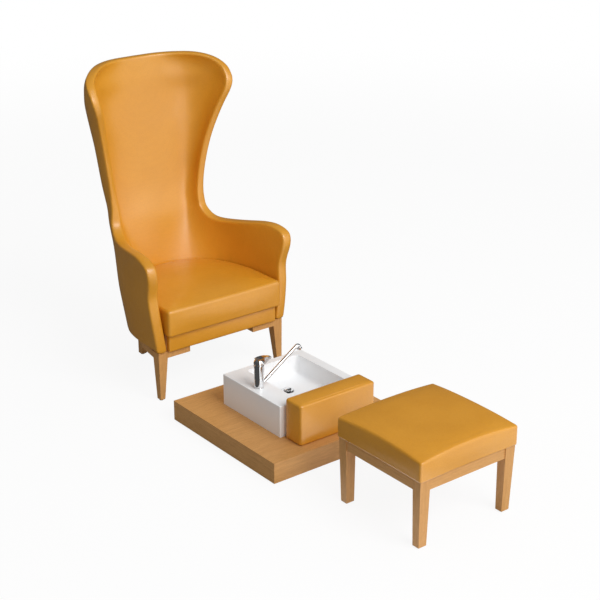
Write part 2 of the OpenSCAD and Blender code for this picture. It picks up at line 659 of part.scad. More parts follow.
module stool_screws() {
    bite = board_t * 2 / 3;
    color(zinc) translate([stool_x, stool_y, stool_leg_h - corner_h])
        for (sx = [-1, 1]) for (sy = [-1, 1])
            translate([sx * corner_screw[0], sy * corner_screw[1], 0]) {
                cylinder(d = stool_screw_d, h = corner_h + bite, $fn = 24);
                translate([0, 0, -glide_h]) cylinder(d = stool_screw_head, h = glide_h, $fn = 24);
            }
}
module stool_glides() {
    gx = stool_w / 2 - stool_lean - stool_foot_w / 2;
    gy = stool_d / 2 - stool_lean - stool_foot_d / 2;
    color(black_cloth) translate([stool_x, stool_y, 0])
        for (sx = [-1, 1]) for (sy = [-1, 1]) translate([sx * gx, sy * gy, 0]) glide(glide_h);
}
cushion_w = stool_w + 2 * cushion_lap;
cushion_d = stool_d + 2 * cushion_lap;
module stool_seat_board() {
    w = cushion_w - 2 * board_in;
    d = cushion_d - 2 * board_in;
    color(ply) translate([stool_x, stool_y, stool_leg_h]) difference() {
        translate([-w / 2, -d / 2, 0]) cube([w, d, board_t]);
        for (sx = [-1, 1]) for (sy = [-1, 1])
            translate([sx * corner_screw[0], sy * corner_screw[1], -over])
                cylinder(d = stool_screw_d, h = board_t * 2 / 3 + over, $fn = 24);
    }
}

// Padded blocks with an upright rectangular outline: the stool's cushion and the footrest pad
corner_facets = 4;
side_facets = 7;
function side_points(a, b, out, draw) = [for (i = [0:side_facets])
    let(t = i / side_facets) a + (b - a) * t - 4 * t * (1 - t) * draw * out];
function corner_points(c, r, from) = [for (i = [1:corner_facets - 1])
    let(a = from + 90 * i / corner_facets) c + r * [cos(a), sin(a)]];
// Outline, counter-clockwise: draw_x and draw_y pull the middles of the sides in
function pad_outline(w, d, r, draw_x, draw_y) = concat(
    side_points([w, r - d], [w, d - r], [1, 0], draw_x), corner_points([w - r, d - r], r, 0),
    side_points([w - r, d], [r - w, d], [0, 1], draw_y), corner_points([r - w, d - r], r, 90),
    side_points([-w, d - r], [-w, r - d], [-1, 0], draw_x), corner_points([r - w, r - d], r, 180),
    side_points([r - w, -d], [w - r, -d], [0, -1], draw_y), corner_points([w - r, r - d], r, 270));
function pad_ring(w, d, r, draw_x, draw_y, inset, z) =
    [for (p = pad_outline(w - inset, d - inset, max(r - inset, slight), draw_x, draw_y))
        [p[0], p[1], z]];

cushion_r = 14;           // corners in plan
cushion_edge_r = 10;      // roll along the top edge
cushion_draw = 5;         // how far the sides draw in between the corners
cushion_bulge = 3;
cushion_recess = board_in - 2;
function stool_ring(inset, z) = pad_ring(cushion_w / 2, cushion_d / 2, cushion_r, cushion_draw,
    cushion_draw, inset, z);
function recess_ring(z) = pad_ring(cushion_w / 2, cushion_d / 2, cushion_r, 0, 0, cushion_recess, z);
function crown_over(w, d, p) = (1 - pow(min(abs(p[0]) / w, 1), 2.4))
    * (1 - pow(min(abs(p[1]) / d, 1), 2.4));
function crown_ring(ring, share, w, d, z, rise) = [for (p = ring)
    [p[0] * share, p[1] * share, z + rise * crown_over(w, d, p * share)]];
// Lifts a ring by a share of the arch, all of it at the middles of the sides, none at the corners
function arched(ring, share) = [for (p = ring) [p[0], p[1], p[2] + share * cushion_arch
    * (1 - pow(min(abs(p[0]) * 2 / cushion_w, 1), 2) * pow(min(abs(p[1]) * 2 / cushion_d, 1), 2))]];
module stool_cushion() {
    top = stool_leg_h + cushion_edge_h;
    recess_z = stool_leg_h + board_t + touch;
    edge = stool_ring(cushion_edge_r, top);
    e = cushion_edge_r;
    rings = [
        recess_ring(recess_z), recess_ring(stool_leg_h + touch),
        stool_ring(e / 2, stool_leg_h + touch), stool_ring(cushion_bulge, stool_leg_h + e / 2),
        stool_ring(cushion_bulge / 3, stool_leg_h + e * 3 / 2),
        arched(stool_ring(0, stool_leg_h + cushion_edge_h / 2), 0.3),
        arched(stool_ring(cushion_bulge / 3, top - e * 3 / 2), 0.85),
        arched(stool_ring(cushion_bulge, top - e / 2), 0.95),
        arched(stool_ring(e / 2, top - e / 8), 1), arched(edge, 1),
        for (share = [0.92, 0.82, 0.68, 0.5, 0.26]) arched(
            crown_ring(edge, share, cushion_w / 2, cushion_d / 2, top, cushion_crown), 1)];
    color(leather) translate([stool_x, stool_y, 0])
        soft_form(rings, [0, 0, recess_z], [0, 0, top + cushion_arch + cushion_crown]);
}

rest_r = 17;              // upright corners
rest_edge_r = 15;
rest_swell = 4;           // of the large faces
rest_crown = 5;
rest_in = 15;             // from the pad's edge to its base board
rest_board_t = 12;
function rest_ring(inset, z, swell) =
    pad_ring(rest_w / 2 - rest_swell / 2, rest_d / 2 - rest_swell, rest_r, -rest_swell / 2 * swell,
        -rest_swell * swell, inset, z);
module footrest_pad() {
    z = plinth_h;
    top = z + rest_h - rest_crown;
    e = rest_edge_r;
    board = z + rest_board_t + touch;
    edge = rest_ring(e, top, 0);
    rings = [
        rest_ring(rest_in - 2, board, 0), rest_ring(rest_in - 2, z + touch, 0),
        rest_ring(e / 3, z + touch, 0), rest_ring(e / 8, z + e / 3, 0.2),
        rest_ring(0, z + e, 0.5), rest_ring(0, z + rest_h / 3, 0.9),
        rest_ring(0, z + rest_h * 2 / 3, 1), rest_ring(0, top - e, 0.7),
        rest_ring(e / 8, top - e / 2, 0.4), rest_ring(e / 2, top - e / 7, 0.1), edge,
        for (share = [0.88, 0.7, 0.4])
            crown_ring(edge, share, rest_w / 2, rest_d / 2, top, rest_crown)];
    color(leather) translate([rest_x, rest_y, 0])
        soft_form(rings, [0, 0, board], [0, 0, top + rest_crown]);
}
module footrest_board() {
    w = rest_w - 2 * (rest_in + rest_swell + touch);
    d = rest_d - 2 * (rest_in + rest_swell + touch);
    color(ply) translate([rest_x - w / 2, rest_y - d / 2, plinth_h]) cube([w, d, rest_board_t]);
}

// Plinth: a board on four panels and battens, open for the plumbing under the basin
pad_h = 3;
pad_d = 26;
panel_h = plinth_h - plinth_top_t - pad_h;
batten = 30;
batten_gap = 12;          // from the middle batten to the basin's front
tap_in_share = 0.412;     // place of the tap across the tap deck
tap_off = 3;              // how far the tap stands in front of the basin's middle
tap_x = basin_x - basin_w / 2 + deck_w * tap_in_share;
tap_y = basin_y + basin_d / 2 - tap_off;
deck_z = plinth_h + basin_h;
bowl_w = basin_w - deck_w - rim_right;
bowl_d = basin_d - 2 * rim_back;
bowl_x = basin_x - basin_w / 2 + deck_w + bowl_w / 2;
bowl_y = basin_y + basin_d / 2;
floor_z = deck_z - bowl_h;
waste_off = [-14, 47];    // from the middle of the bowl to the waste
waste_x = bowl_x + waste_off[0];
waste_y = bowl_y + waste_off[1];
waste_hole_d = 130;
tap_hole_d = 90;
tube_t = 2;
pipe_z = 38;
inlet_z = 45;
inlet_pitch = 50;
inlet_x = [tap_x - inlet_pitch / 2, tap_x + inlet_pitch / 2];
inlet_d = 21;
hole_gap = 2;
module plinth_top() {
    color(oak) difference() {
        translate([plinth_x - plinth_w / 2, plinth_y, plinth_h - plinth_top_t])
            cube([plinth_w, plinth_d, plinth_top_t]);
        for (p = [[waste_x, waste_y, waste_hole_d], [tap_x, tap_y, tap_hole_d]])
            translate([p[0], p[1], plinth_h - plinth_top_t - over])
                cylinder(d = p[2], h = plinth_top_t + 2 * over, $fn = 64);
    }
}
module panel_wide() {
    translate([plinth_x - plinth_w / 2, 0, pad_h]) cube([plinth_w, plinth_panel_t, panel_h]);
}
module plinth_panel_front() {
    color(oak) translate([0, plinth_y, 0]) panel_wide();
}
module plinth_panel_rear() {
    y = plinth_y + plinth_d - plinth_panel_t;
    color(oak) difference() {
        translate([0, y, 0]) panel_wide();
        translate([waste_x, y - over, pipe_z]) rotate([-90, 0, 0])
            cylinder(d = waste_pipe_d + 2 * (socket_t + hole_gap),
                     h = plinth_panel_t + 2 * over, $fn = 64);
        for (x = inlet_x) translate([x, y - over, inlet_z]) rotate([-90, 0, 0])
            cylinder(d = inlet_d + 2 * tube_t + 2 * hole_gap, h = plinth_panel_t + 2 * over,
                     $fn = 48);
    }
}
module panel_deep() {
    translate([0, plinth_y + plinth_panel_t, pad_h])
        cube([plinth_panel_t, plinth_d - 2 * plinth_panel_t, panel_h]);
}
module plinth_panel_left() {
    color(oak) translate([plinth_x - plinth_w / 2, 0, 0]) panel_deep();
}
module plinth_panel_right() {
    color(oak) translate([plinth_x + plinth_w / 2 - plinth_panel_t, 0, 0]) panel_deep();
}
batten_x = plinth_w / 2 - plinth_panel_t - batten;
module plinth_side_battens() {
    l = plinth_d - 2 * plinth_panel_t;
    color(ply) for (x = [plinth_x - batten_x - batten, plinth_x + batten_x])
        translate([x, plinth_y + plinth_panel_t, pad_h]) cube([batten, l, panel_h]);
}
module plinth_cross_battens() {
    color(ply) for (y = [plinth_panel_t, basin_front - batten - batten_gap])
        translate([plinth_x - batten_x, plinth_y + y, pad_h]) cube([2 * batten_x, batten, panel_h]);
}
module plinth_pads() {
    px = plinth_w / 2 - plinth_panel_t - batten / 2;
    py = [plinth_panel_t + batten, plinth_d / 2, plinth_d - plinth_panel_t - batten];
    color(black_cloth) for (s = [-1, 1]) for (y = py)
        translate([plinth_x + s * px, plinth_y + y, 0]) cylinder(d = pad_d, h = pad_h, $fn = 32);
}

// Basin: a round-edged box with a sunk bowl, a tap deck and a hollow underside
module round_block(size, r) {
    w = size[0];
    d = size[1];
    h = size[2];
    for (p = [[r, 0], [0, r]])
        translate([p[0], p[1], 0]) cube([w - 2 * p[0], d - 2 * p[1], h - r]);
    translate([r, r, 0]) cube([w - 2 * r, d - 2 * r, h]);
    for (x = [r, w - r]) for (y = [r, d - r]) translate([x, y, 0]) {
        cylinder(r = r, h = h - r, $fn = 32);
        translate([0, 0, h - r]) sphere(r, $fn = 32);
    }
    for (y = [r, d - r]) translate([r, y, h - r]) rotate([0, 90, 0])
        cylinder(r = r, h = w - 2 * r, $fn = 32);
    for (x = [r, w - r]) translate([x, r, h - r]) rotate([-90, 0, 0])
        cylinder(r = r, h = d - 2 * r, $fn = 32);
}
module bowl_space() {
    translate([bowl_x - bowl_w / 2, bowl_y + bowl_d / 2, deck_z + over]) rotate([180, 0, 0])
        round_block([bowl_w, bowl_d, bowl_h + over], bowl_r);
}
tap_bore_d = 33;
module basin() {
    t = ceramic_t;
    left = basin_x - basin_w / 2;
    color(ceramic) difference() {
        translate([left, basin_y, plinth_h]) round_block([basin_w, basin_d, basin_h], basin_r);
        bowl_space();
        translate([left + t, basin_y + t, plinth_h - over])
            cube([basin_w - 2 * t, basin_d - 2 * t, floor_z - t - plinth_h + over]);
        translate([left + t, basin_y + t, plinth_h - over])
            cube([deck_w - 2 * t, basin_d - 2 * t, basin_h - t + over]);
        translate([tap_x, tap_y, plinth_h]) cylinder(d = tap_bore_d, h = basin_h + over, $fn = 64);
        translate([waste_x, waste_y, plinth_h])
            cylinder(d = waste_body_d + hole_gap, h = basin_h + over, $fn = 64);
        translate([waste_x, waste_y, floor_z - flange_sink])
            cylinder(d = flange_d + hole_gap, h = bowl_h, $fn = 96);
    }
}

// Waste: flange and push plug in the bowl, nut, tail, low trap and pipe to the rear
flange_sink = 1.5;
flange_t = 3;
flange_slope = 3;         // width of the flange's sloping edge
waste_body_d = 44;
waste_bore_d = 34;
waste_body_below = 6;     // how far the waste's body reaches below its nut
waste_nut_d = 66;
waste_nut_h = 10;
tail_d = 32;
tail_collar_h = 5;
trap_d = 110;
trap_z = [8, 66];
trap_t = 3;
trap_spout_l = 6;
plug_t = 4;
plug_slope = 2.5;
stem_d = 8;
stem_guide_h = 6;
stem_guide_t = 3;
spokes = 3;
spoke_t = 3;
tail_top = floor_z - ceramic_t - waste_nut_h - waste_body_below;
body_top = floor_z - flange_sink;
plug_seat = body_top + flange_t / 2;
module waste_flange() {
    color(chrome) translate([waste_x, waste_y, 0]) {
        difference() {
            union() {
                translate([0, 0, body_top]) cylinder(d = flange_d, h = flange_t / 2, $fn = 96);
                translate([0, 0, plug_seat])
                    cylinder(d1 = flange_d, d2 = flange_d - 2 * flange_slope, h = flange_t / 2,
                             $fn = 96);
                translate([0, 0, tail_top])
                    cylinder(d = waste_body_d, h = body_top - tail_top, $fn = 64);
            }
            translate([0, 0, tail_top - over])
                cylinder(d = waste_bore_d, h = body_top + flange_t + 2 * over - tail_top, $fn = 64);
            translate([0, 0, plug_seat]) cylinder(d = plug_d + hole_gap, h = flange_t, $fn = 64);
        }
        translate([0, 0, tail_top]) difference() {
            union() {
                cylinder(d = stem_d + 2 * stem_guide_t, h = stem_guide_h, $fn = 32);
                for (i = [0:spokes - 1]) rotate(i * 360 / spokes) translate([0, -spoke_t / 2, 0])
                    cube([waste_bore_d / 2 + over, spoke_t, stem_guide_h]);
            }
            translate([0, 0, -over])
                cylinder(d = stem_d + 2 * running, h = stem_guide_h + 2 * over, $fn = 48);
        }
    }
}
module waste_plug() {
    base = plug_seat + plug_travel;
    stem_z = tail_top - touch;
    color(chrome) translate([waste_x, waste_y, 0]) {
        translate([0, 0, base]) cylinder(d = plug_d, h = plug_t / 2, $fn = 64);
        translate([0, 0, base + plug_t / 2])
            cylinder(d1 = plug_d, d2 = plug_d - 2 * plug_slope, h = plug_t / 2, $fn = 64);
        translate([0, 0, stem_z]) cylinder(d = stem_d, h = base - stem_z, $fn = 48);
    }
}
module hex_ring(across, bore, h) {
    difference() {
        cylinder(r = across / 2 / cos(30), h = h, $fn = 6);
        translate([0, 0, -over]) cylinder(d = bore, h = h + 2 * over, $fn = 64);
    }
}
module waste_nut() {
    color(brass_tone) translate([waste_x, waste_y, floor_z - ceramic_t - waste_nut_h])
        hex_ring(waste_nut_d, waste_body_d, waste_nut_h);
}
module waste_tail() {
    h = tail_top - trap_z[1];
    color(chrome) translate([waste_x, waste_y, trap_z[1]]) difference() {
        union() {
            cylinder(d = tail_d, h = h, $fn = 64);
            translate([0, 0, h - tail_collar_h])
                cylinder(d = waste_body_d, h = tail_collar_h, $fn = 64);
        }
        translate([0, 0, -over]) cylinder(d = tail_d - 2 * tube_t, h = h + 2 * over, $fn = 64);
    }
}
module waste_trap() {
    h = trap_z[1] - trap_z[0];
    reach = trap_d / 2 + trap_spout_l;
    color(pipe_white) translate([waste_x, waste_y, trap_z[0]]) difference() {
        union() {
            cylinder(d = trap_d, h = h, $fn = 96);
            translate([0, 0, pipe_z - trap_z[0]]) rotate([-90, 0, 0])
                cylinder(d = waste_pipe_d + 2 * trap_t, h = reach, $fn = 64);
        }
        translate([0, 0, trap_t]) cylinder(d = trap_d - 2 * trap_t, h = h - 2 * trap_t, $fn = 96);
        translate([0, 0, h - 2 * trap_t]) cylinder(d = tail_d - 2 * tube_t, h = 3 * trap_t, $fn = 64);
        translate([0, 0, pipe_z - trap_z[0]]) rotate([-90, 0, 0])
            cylinder(d = waste_pipe_d - 2 * tube_t, h = reach + over, $fn = 64);
    }
}
socket_l = 45;
socket_t = 3;
socket_fit = 0.3;
socket_back = 6;          // wall of the socket behind its bore
module waste_pipe() {
    start = waste_y + trap_d / 2 + trap_spout_l;
    l = plinth_y + plinth_d - start;
    bore = waste_pipe_d + 2 * socket_fit;
    color(pipe_white) translate([waste_x, start, pipe_z]) rotate([-90, 0, 0]) difference() {
        union() {
            cylinder(d = waste_pipe_d, h = l, $fn = 64);
            translate([0, 0, l - socket_l - socket_back])
                cylinder(d = bore + 2 * socket_t, h = socket_l + socket_back, $fn = 64);
        }
        translate([0, 0, -over]) cylinder(d = waste_pipe_d - 2 * tube_t, h = l + 2 * over, $fn = 64);
        translate([0, 0, l - socket_l]) cylinder(d = bore, h = socket_l + over, $fn = 64);
    }
}

// Tap: a foot ring, a core that the spout's collar turns on, and the mixer head on top
foot_ring_h = 7;
foot_ball_share = 1.03;   // the ball that rounds the foot ring, of the tap's diameter
core_d = 34;
seal_r = 1.3;
seal_groove = 1.6;
seal_z = [foot_ring_h + 9, collar_h - 9];
cartridge_d = 35;
cartridge_z = 72;
shank_l = 62;
shank_d = 32;
nut_d = 46;
nut_h = 10;
module at_tap(z = 0) {
    translate([tap_x, tap_y, deck_z + z]) children();
}
module tap_base_ring() {
    color(chrome) at_tap() difference() {
        intersection() {
            sphere(d = tap_d * foot_ball_share, $fn = 96);
            cylinder(d = tap_d, h = foot_ring_h, $fn = 96);
        }
        translate([0, 0, -over]) cylinder(d = core_d, h = foot_ring_h + 2 * over, $fn = 64);
    }
}
module tap_body() {
    color(chrome) at_tap() difference() {
        union() {
            translate([0, 0, -shank_l]) cylinder(d = shank_d, h = shank_l, $fn = 64);
            cylinder(d = core_d, h = collar_h + over, $fn = 64);
            translate([0, 0, collar_h + touch])
                cylinder(d = tap_d, h = tap_body_h - collar_h - touch, $fn = 96);
        }
        for (z = seal_z) translate([0, 0, z - seal_groove])
            difference() {
                cylinder(d = core_d + over, h = 2 * seal_groove, $fn = 64);
                translate([0, 0, -over])
                    cylinder(d = core_d - 4 * (seal_r + running), h = 2 * seal_groove + 2 * over, $fn = 64);
            }
        translate([0, 0, cartridge_z])
            cylinder(d = cartridge_d + 2 * running, h = tap_body_h, $fn = 64);
        for (x = [-1, 1]) translate([x * core_d / 4, 0, -shank_l - over])
            cylinder(d = supply_d + 2 * running, h = shank_l + cartridge_z / 2, $fn = 32);
    }
}
module tap_seals() {
    color(rubber_tone) for (z = seal_z) at_tap(z)
        rotate_extrude($fn = 64) translate([core_d / 2 - seal_r - running, 0])
            circle(seal_r, $fn = 16);
}
cartridge_nut_h = 8;
cartridge_neck_share = 0.6;
stem_up = 10;             // of the cartridge's stem above the body
mixer_stem_d = 10;
module tap_cartridge() {
    h = tap_body_h - cartridge_z - cartridge_nut_h;
    color(pipe_white) at_tap(cartridge_z) {
        cylinder(d = cartridge_d, h = h, $fn = 64);
        cylinder(d = cartridge_d * cartridge_neck_share, h = h + cartridge_nut_h, $fn = 48);
        cylinder(d = mixer_stem_d, h = h + cartridge_nut_h + stem_up, $fn = 48);
    }
}
module tap_cartridge_nut() {
    color(brass_tone) at_tap(tap_body_h - cartridge_nut_h) difference() {
        cylinder(d = cartridge_d, h = cartridge_nut_h, $fn = 64);
        translate([0, 0, -over])
            cylinder(d = cartridge_d * cartridge_neck_share + 2 * running,
                     h = cartridge_nut_h + 2 * over, $fn = 48);
    }
}
module tap_backnut() {
    color(brass_tone) at_tap(-ceramic_t - nut_h) hex_ring(nut_d, shank_d, nut_h);
}

// Supplies: two tails from the shank down into the plinth and back to the rear inlets
supply_d = 10;
supply_in = 30;           // how far a tail is screwed up into the tap
bend_r = 30;
supply_dx = core_d / 4;
inlet_l = 48;
inlet_y = plinth_y + plinth_d - inlet_l;
module supply_run(x) {
    color(chrome) translate([x, tap_y, inlet_z]) {
        translate([0, 0, bend_r])
            cylinder(d = supply_d, h = deck_z - shank_l + supply_in - inlet_z - bend_r, $fn = 32);
        translate([0, bend_r, bend_r]) rotate([0, 90, 0]) rotate(-90)
            rotate_extrude(angle = 90, $fn = 64) translate([bend_r, 0]) circle(d = supply_d, $fn = 32);
        translate([0, bend_r, 0]) rotate([-90, 0, 0])
            cylinder(d = supply_d, h = inlet_y - tap_y - bend_r, $fn = 32);
    }
}
module supply_tails() {
    for (s = [-1, 1]) supply_run(tap_x + s * supply_dx);
}
union_d = 16;
union_h = 14;
elbow_w = 16;
elbow_t = 10;
elbow_in = 4;             // from the tail's end to the elbow block
inlet_out = 18;           // free length of an inlet's spigot behind the plinth
inlet_bore_d = 14;
module supply_inlet(s) {
    from = s * supply_dx;
    to = s * inlet_pitch / 2;
    color(brass_tone) translate([tap_x, inlet_y, inlet_z]) rotate([-90, 0, 0]) difference() {
        union() {
            translate([from, 0, 0]) cylinder(d = union_d, h = union_h, $fn = 32);
            translate([min(from, to), -elbow_w / 2, elbow_in])
                cube([abs(to - from), elbow_w, elbow_t]);
            translate([to, 0, elbow_in])
                cylinder(d = inlet_d + 2 * tube_t, h = inlet_l - elbow_in, $fn = 48);
            translate([to, 0, inlet_l - over])
                cylinder(d = inlet_d, h = inlet_out + over, $fn = 48);
        }
        translate([to, 0, elbow_in + elbow_t]) cylinder(d = inlet_bore_d, h = inlet_l + inlet_out, $fn = 32);
    }
}
module supply_inlets() {
    for (s = [-1, 1]) supply_inlet(s);
}

// Spout: the collar, a straight rising tube, a bend and the outlet
outlet_d = 24;
outlet_h = 8;
outlet_wall = 3;
spout_bend_r = 12;
root_z = 20;              // height of the spout's axis where it leaves the collar
bend_x = spout_reach - spout_bend_r;
straight_start = [tap_d / 4, root_z - tap_d / 4 * tan(spout_rise)];
straight_l = (bend_x - spout_bend_r * sin(spout_rise) - straight_start[0]) / cos(spout_rise);
bend_z = straight_start[1] + straight_l * sin(spout_rise) - spout_bend_r * cos(spout_rise);
module spout() {
    color(chrome) at_tap() {
        difference() {
            translate([0, 0, foot_ring_h + touch])
                cylinder(d = tap_d, h = collar_h - foot_ring_h - touch, $fn = 96);
            cylinder(d = core_d + 2 * running, h = collar_h + over, $fn = 64);
        }
        at_bend() rotate([-90, 0, 0]) rotate(-90)
            rotate_extrude(angle = 90 + spout_rise, $fn = 96)
                translate([spout_bend_r, 0]) circle(d = spout_d, $fn = 48);
        difference() {
            at_bend() translate([0, 0, spout_bend_r]) rotate([0, -90, 0])
                cylinder(d = spout_d, h = straight_l, $fn = 48);
            cylinder(d = tap_d - 2 * over, h = collar_h, $fn = 64);
        }
    }
}
// The plane of the bend, turned so that the straight tube runs back along -X
module at_bend() {
    translate([bend_x, 0, bend_z]) rotate([0, -spout_rise, 0]) children();
}
module spout_aerator() {
    color(chrome) at_tap() translate([spout_reach, 0, bend_z - outlet_h]) difference() {
        union() {
            cylinder(d = outlet_d, h = outlet_h * 3 / 4, $fn = 64);
            translate([0, 0, outlet_h * 3 / 4])
                cylinder(d1 = outlet_d, d2 = outlet_d - outlet_h / 2, h = outlet_h / 4, $fn = 64);
        }
        translate([0, 0, -over])
            cylinder(d = outlet_d - 2 * outlet_wall, h = outlet_h / 2 + over, $fn = 48);
    }
}

// Mixer head: a ring and a ball that turn, and a domed lever that tilts on the ball
ball_r = 21;
dome_r = 24;
head_ring_h = 4;
ring_lip = 1.5;           // of the head's ring over the tap's body
ball_up = 14;             // top of the ball's waist above the ring
pivot_z = tap_body_h + ball_up;
pin_r = 2;
pin_in = 1;               // from the dome's surface to the pin's ends
lift = 20;                // travel of the lever the dome's edge is cut for, in degrees
module mixer_head() {
    color(chrome) at_tap() difference() {
        union() {
            translate([0, 0, tap_body_h + touch])
                cylinder(d = tap_d + 2 * ring_lip, h = head_ring_h - touch, $fn = 96);
            intersection() {
                translate([0, 0, pivot_z]) sphere(ball_r, $fn = 96);
                translate([0, 0, tap_body_h + head_ring_h / 2])
                    cylinder(d = tap_d, h = ball_up + pin_r + over, $fn = 96);
            }
        }
        translate([0, 0, tap_body_h])
            cylinder(d = mixer_stem_d + 2 * running, h = stem_up + touch, $fn = 48);
        translate([0, tap_d, pivot_z]) rotate([90, 0, 0])
            cylinder(r = pin_r + running, h = 2 * tap_d, $fn = 32);
    }
}
lever_top_shares = [[-0.24, 0.92], [0, 1.02], [0.28, 1.05], [0.52, 1.0], [0.76, 0.86], [0.93, 0.70],
    [1, 0.56]];
lever_under_shares = [[0.985, 0.44], [0.9, 0.36], [0.78, 0.26], [0.6, 0.05], [0.45, -0.16],
    [0.34, -0.34], [0, -0.1]];
lever_plan_shares = [[-0.26, 0.60], [0, 0.68], [0.3, 0.62], [0.6, 0.47], [0.85, 0.38], [0.95, 0.31],
    [1, 0.18]];
dome_edge = 5.2;          // of the dome's lower edge below its pivot, on the axis
function lever_side() = [
    for (p = lever_top_shares) [p[0] * lever_l, pivot_z + p[1] * dome_r],
    for (p = lever_under_shares) [p[0] * lever_l, pivot_z + p[1] * dome_r]];
function lever_plan() = [
    for (p = lever_plan_shares) [p[0] * lever_l, p[1] * dome_r],
    for (p = reversed(lever_plan_shares)) [p[0] * lever_l, -p[1] * dome_r]];
module mixer_lever() {
    color(chrome) at_tap() difference() {
        union() {
            translate([0, 0, pivot_z]) sphere(dome_r, $fn = 96);
            intersection() {
                translate([0, dome_r, 0]) rotate([90, 0, 0]) linear_extrude(2 * dome_r)
                    polygon(lever_side());
                translate([0, 0, tap_body_h]) linear_extrude(3 * dome_r) polygon(lever_plan());
            }
        }
        translate([0, 0, pivot_z]) sphere(ball_r + touch, $fn = 96);
        translate([0, 0, pivot_z - dome_edge]) rotate([0, lift / 2, 0])
            translate([-2 * dome_r, -2 * dome_r, -4 * dome_r])
                cube([4 * dome_r, 4 * dome_r, 4 * dome_r]);
        translate([0, tap_d, pivot_z]) rotate([90, 0, 0])
            cylinder(r = pin_r, h = 2 * tap_d, $fn = 32);
    }
}
module lever_pin() {
    l = 2 * (dome_r - pin_in);
    color(zinc) at_tap(pivot_z) translate([0, l / 2, 0]) rotate([90, 0, 0])
        cylinder(r = pin_r, h = l, $fn = 32);
}

chair_shell();
seat_cushion();
seat_front_cover();
seat_frame();
seat_webbing();
dust_cover();
chair_front_leg_left();
chair_front_leg_right();
chair_rear_leg_left();
chair_rear_leg_right();
chair_front_blocks();
chair_side_blocks();
chair_rear_rail();
chair_bolts();
chair_glides();
stool_cushion();
stool_seat_board();
stool_leg_front_left();
stool_leg_front_right();
stool_leg_rear_left();
stool_leg_rear_right();
stool_apron_front();
stool_apron_rear();
stool_apron_left();
stool_apron_right();
stool_corner_blocks();
stool_screws();
stool_glides();
plinth_top();
plinth_panel_front();
plinth_panel_rear();
plinth_panel_left();
plinth_panel_right();
plinth_side_battens();
plinth_cross_battens();
plinth_pads();
basin();
waste_flange();
waste_plug();
waste_nut();
waste_tail();
waste_trap();
waste_pipe();
tap_base_ring();
tap_body();
tap_seals();
tap_cartridge();
tap_cartridge_nut();
tap_backnut();
supply_tails();
supply_inlets();
spout();
spout_aerator();
mixer_head();
mixer_lever();
lever_pin();
footrest_pad();
footrest_board();
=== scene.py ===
import json
import math

import bmesh
import bpy
import numpy as np
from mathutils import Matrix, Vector, kdtree


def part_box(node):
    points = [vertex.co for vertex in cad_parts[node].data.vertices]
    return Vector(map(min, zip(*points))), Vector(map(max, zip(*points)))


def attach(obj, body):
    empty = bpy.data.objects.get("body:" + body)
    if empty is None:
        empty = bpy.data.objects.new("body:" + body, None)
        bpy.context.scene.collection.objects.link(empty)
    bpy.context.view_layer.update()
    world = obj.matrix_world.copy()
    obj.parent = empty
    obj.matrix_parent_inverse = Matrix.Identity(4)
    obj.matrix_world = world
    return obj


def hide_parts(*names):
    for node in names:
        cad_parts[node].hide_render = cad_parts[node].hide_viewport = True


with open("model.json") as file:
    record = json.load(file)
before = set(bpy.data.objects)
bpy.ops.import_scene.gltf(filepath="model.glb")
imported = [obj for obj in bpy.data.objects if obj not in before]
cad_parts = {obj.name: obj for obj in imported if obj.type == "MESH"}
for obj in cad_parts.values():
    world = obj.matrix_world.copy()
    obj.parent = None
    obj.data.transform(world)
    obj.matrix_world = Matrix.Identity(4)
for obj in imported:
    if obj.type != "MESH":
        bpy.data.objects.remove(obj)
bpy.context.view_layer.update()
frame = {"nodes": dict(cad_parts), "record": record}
nodes = frame["nodes"]
scene = bpy.context.scene
print("frame loaded:", len(nodes), "nodes")

shot = {
    "azimuth": -37.94,              # degrees; the view is from the front left
    "elevation": 22.04,
    "lens": 86.02, "sensor": 36,    # mm
    "place": (-3.6075, -4.732, 3.0),
    "farthest": 60,
}


def addCamera():
    data = bpy.data.cameras.new("shot")
    data.lens = shot["lens"]
    data.sensor_width = shot["sensor"]
    data.clip_end = shot["farthest"]
    cam = bpy.data.objects.new("shot", data)
    cam.location = shot["place"]
    cam.rotation_euler = (math.radians(90 - shot["elevation"]), 0, math.radians(shot["azimuth"]))
    scene.collection.objects.link(cam)
    scene.camera = cam


addCamera()
scene.view_settings.view_transform = "Standard"
white = (1, 1, 1, 1)


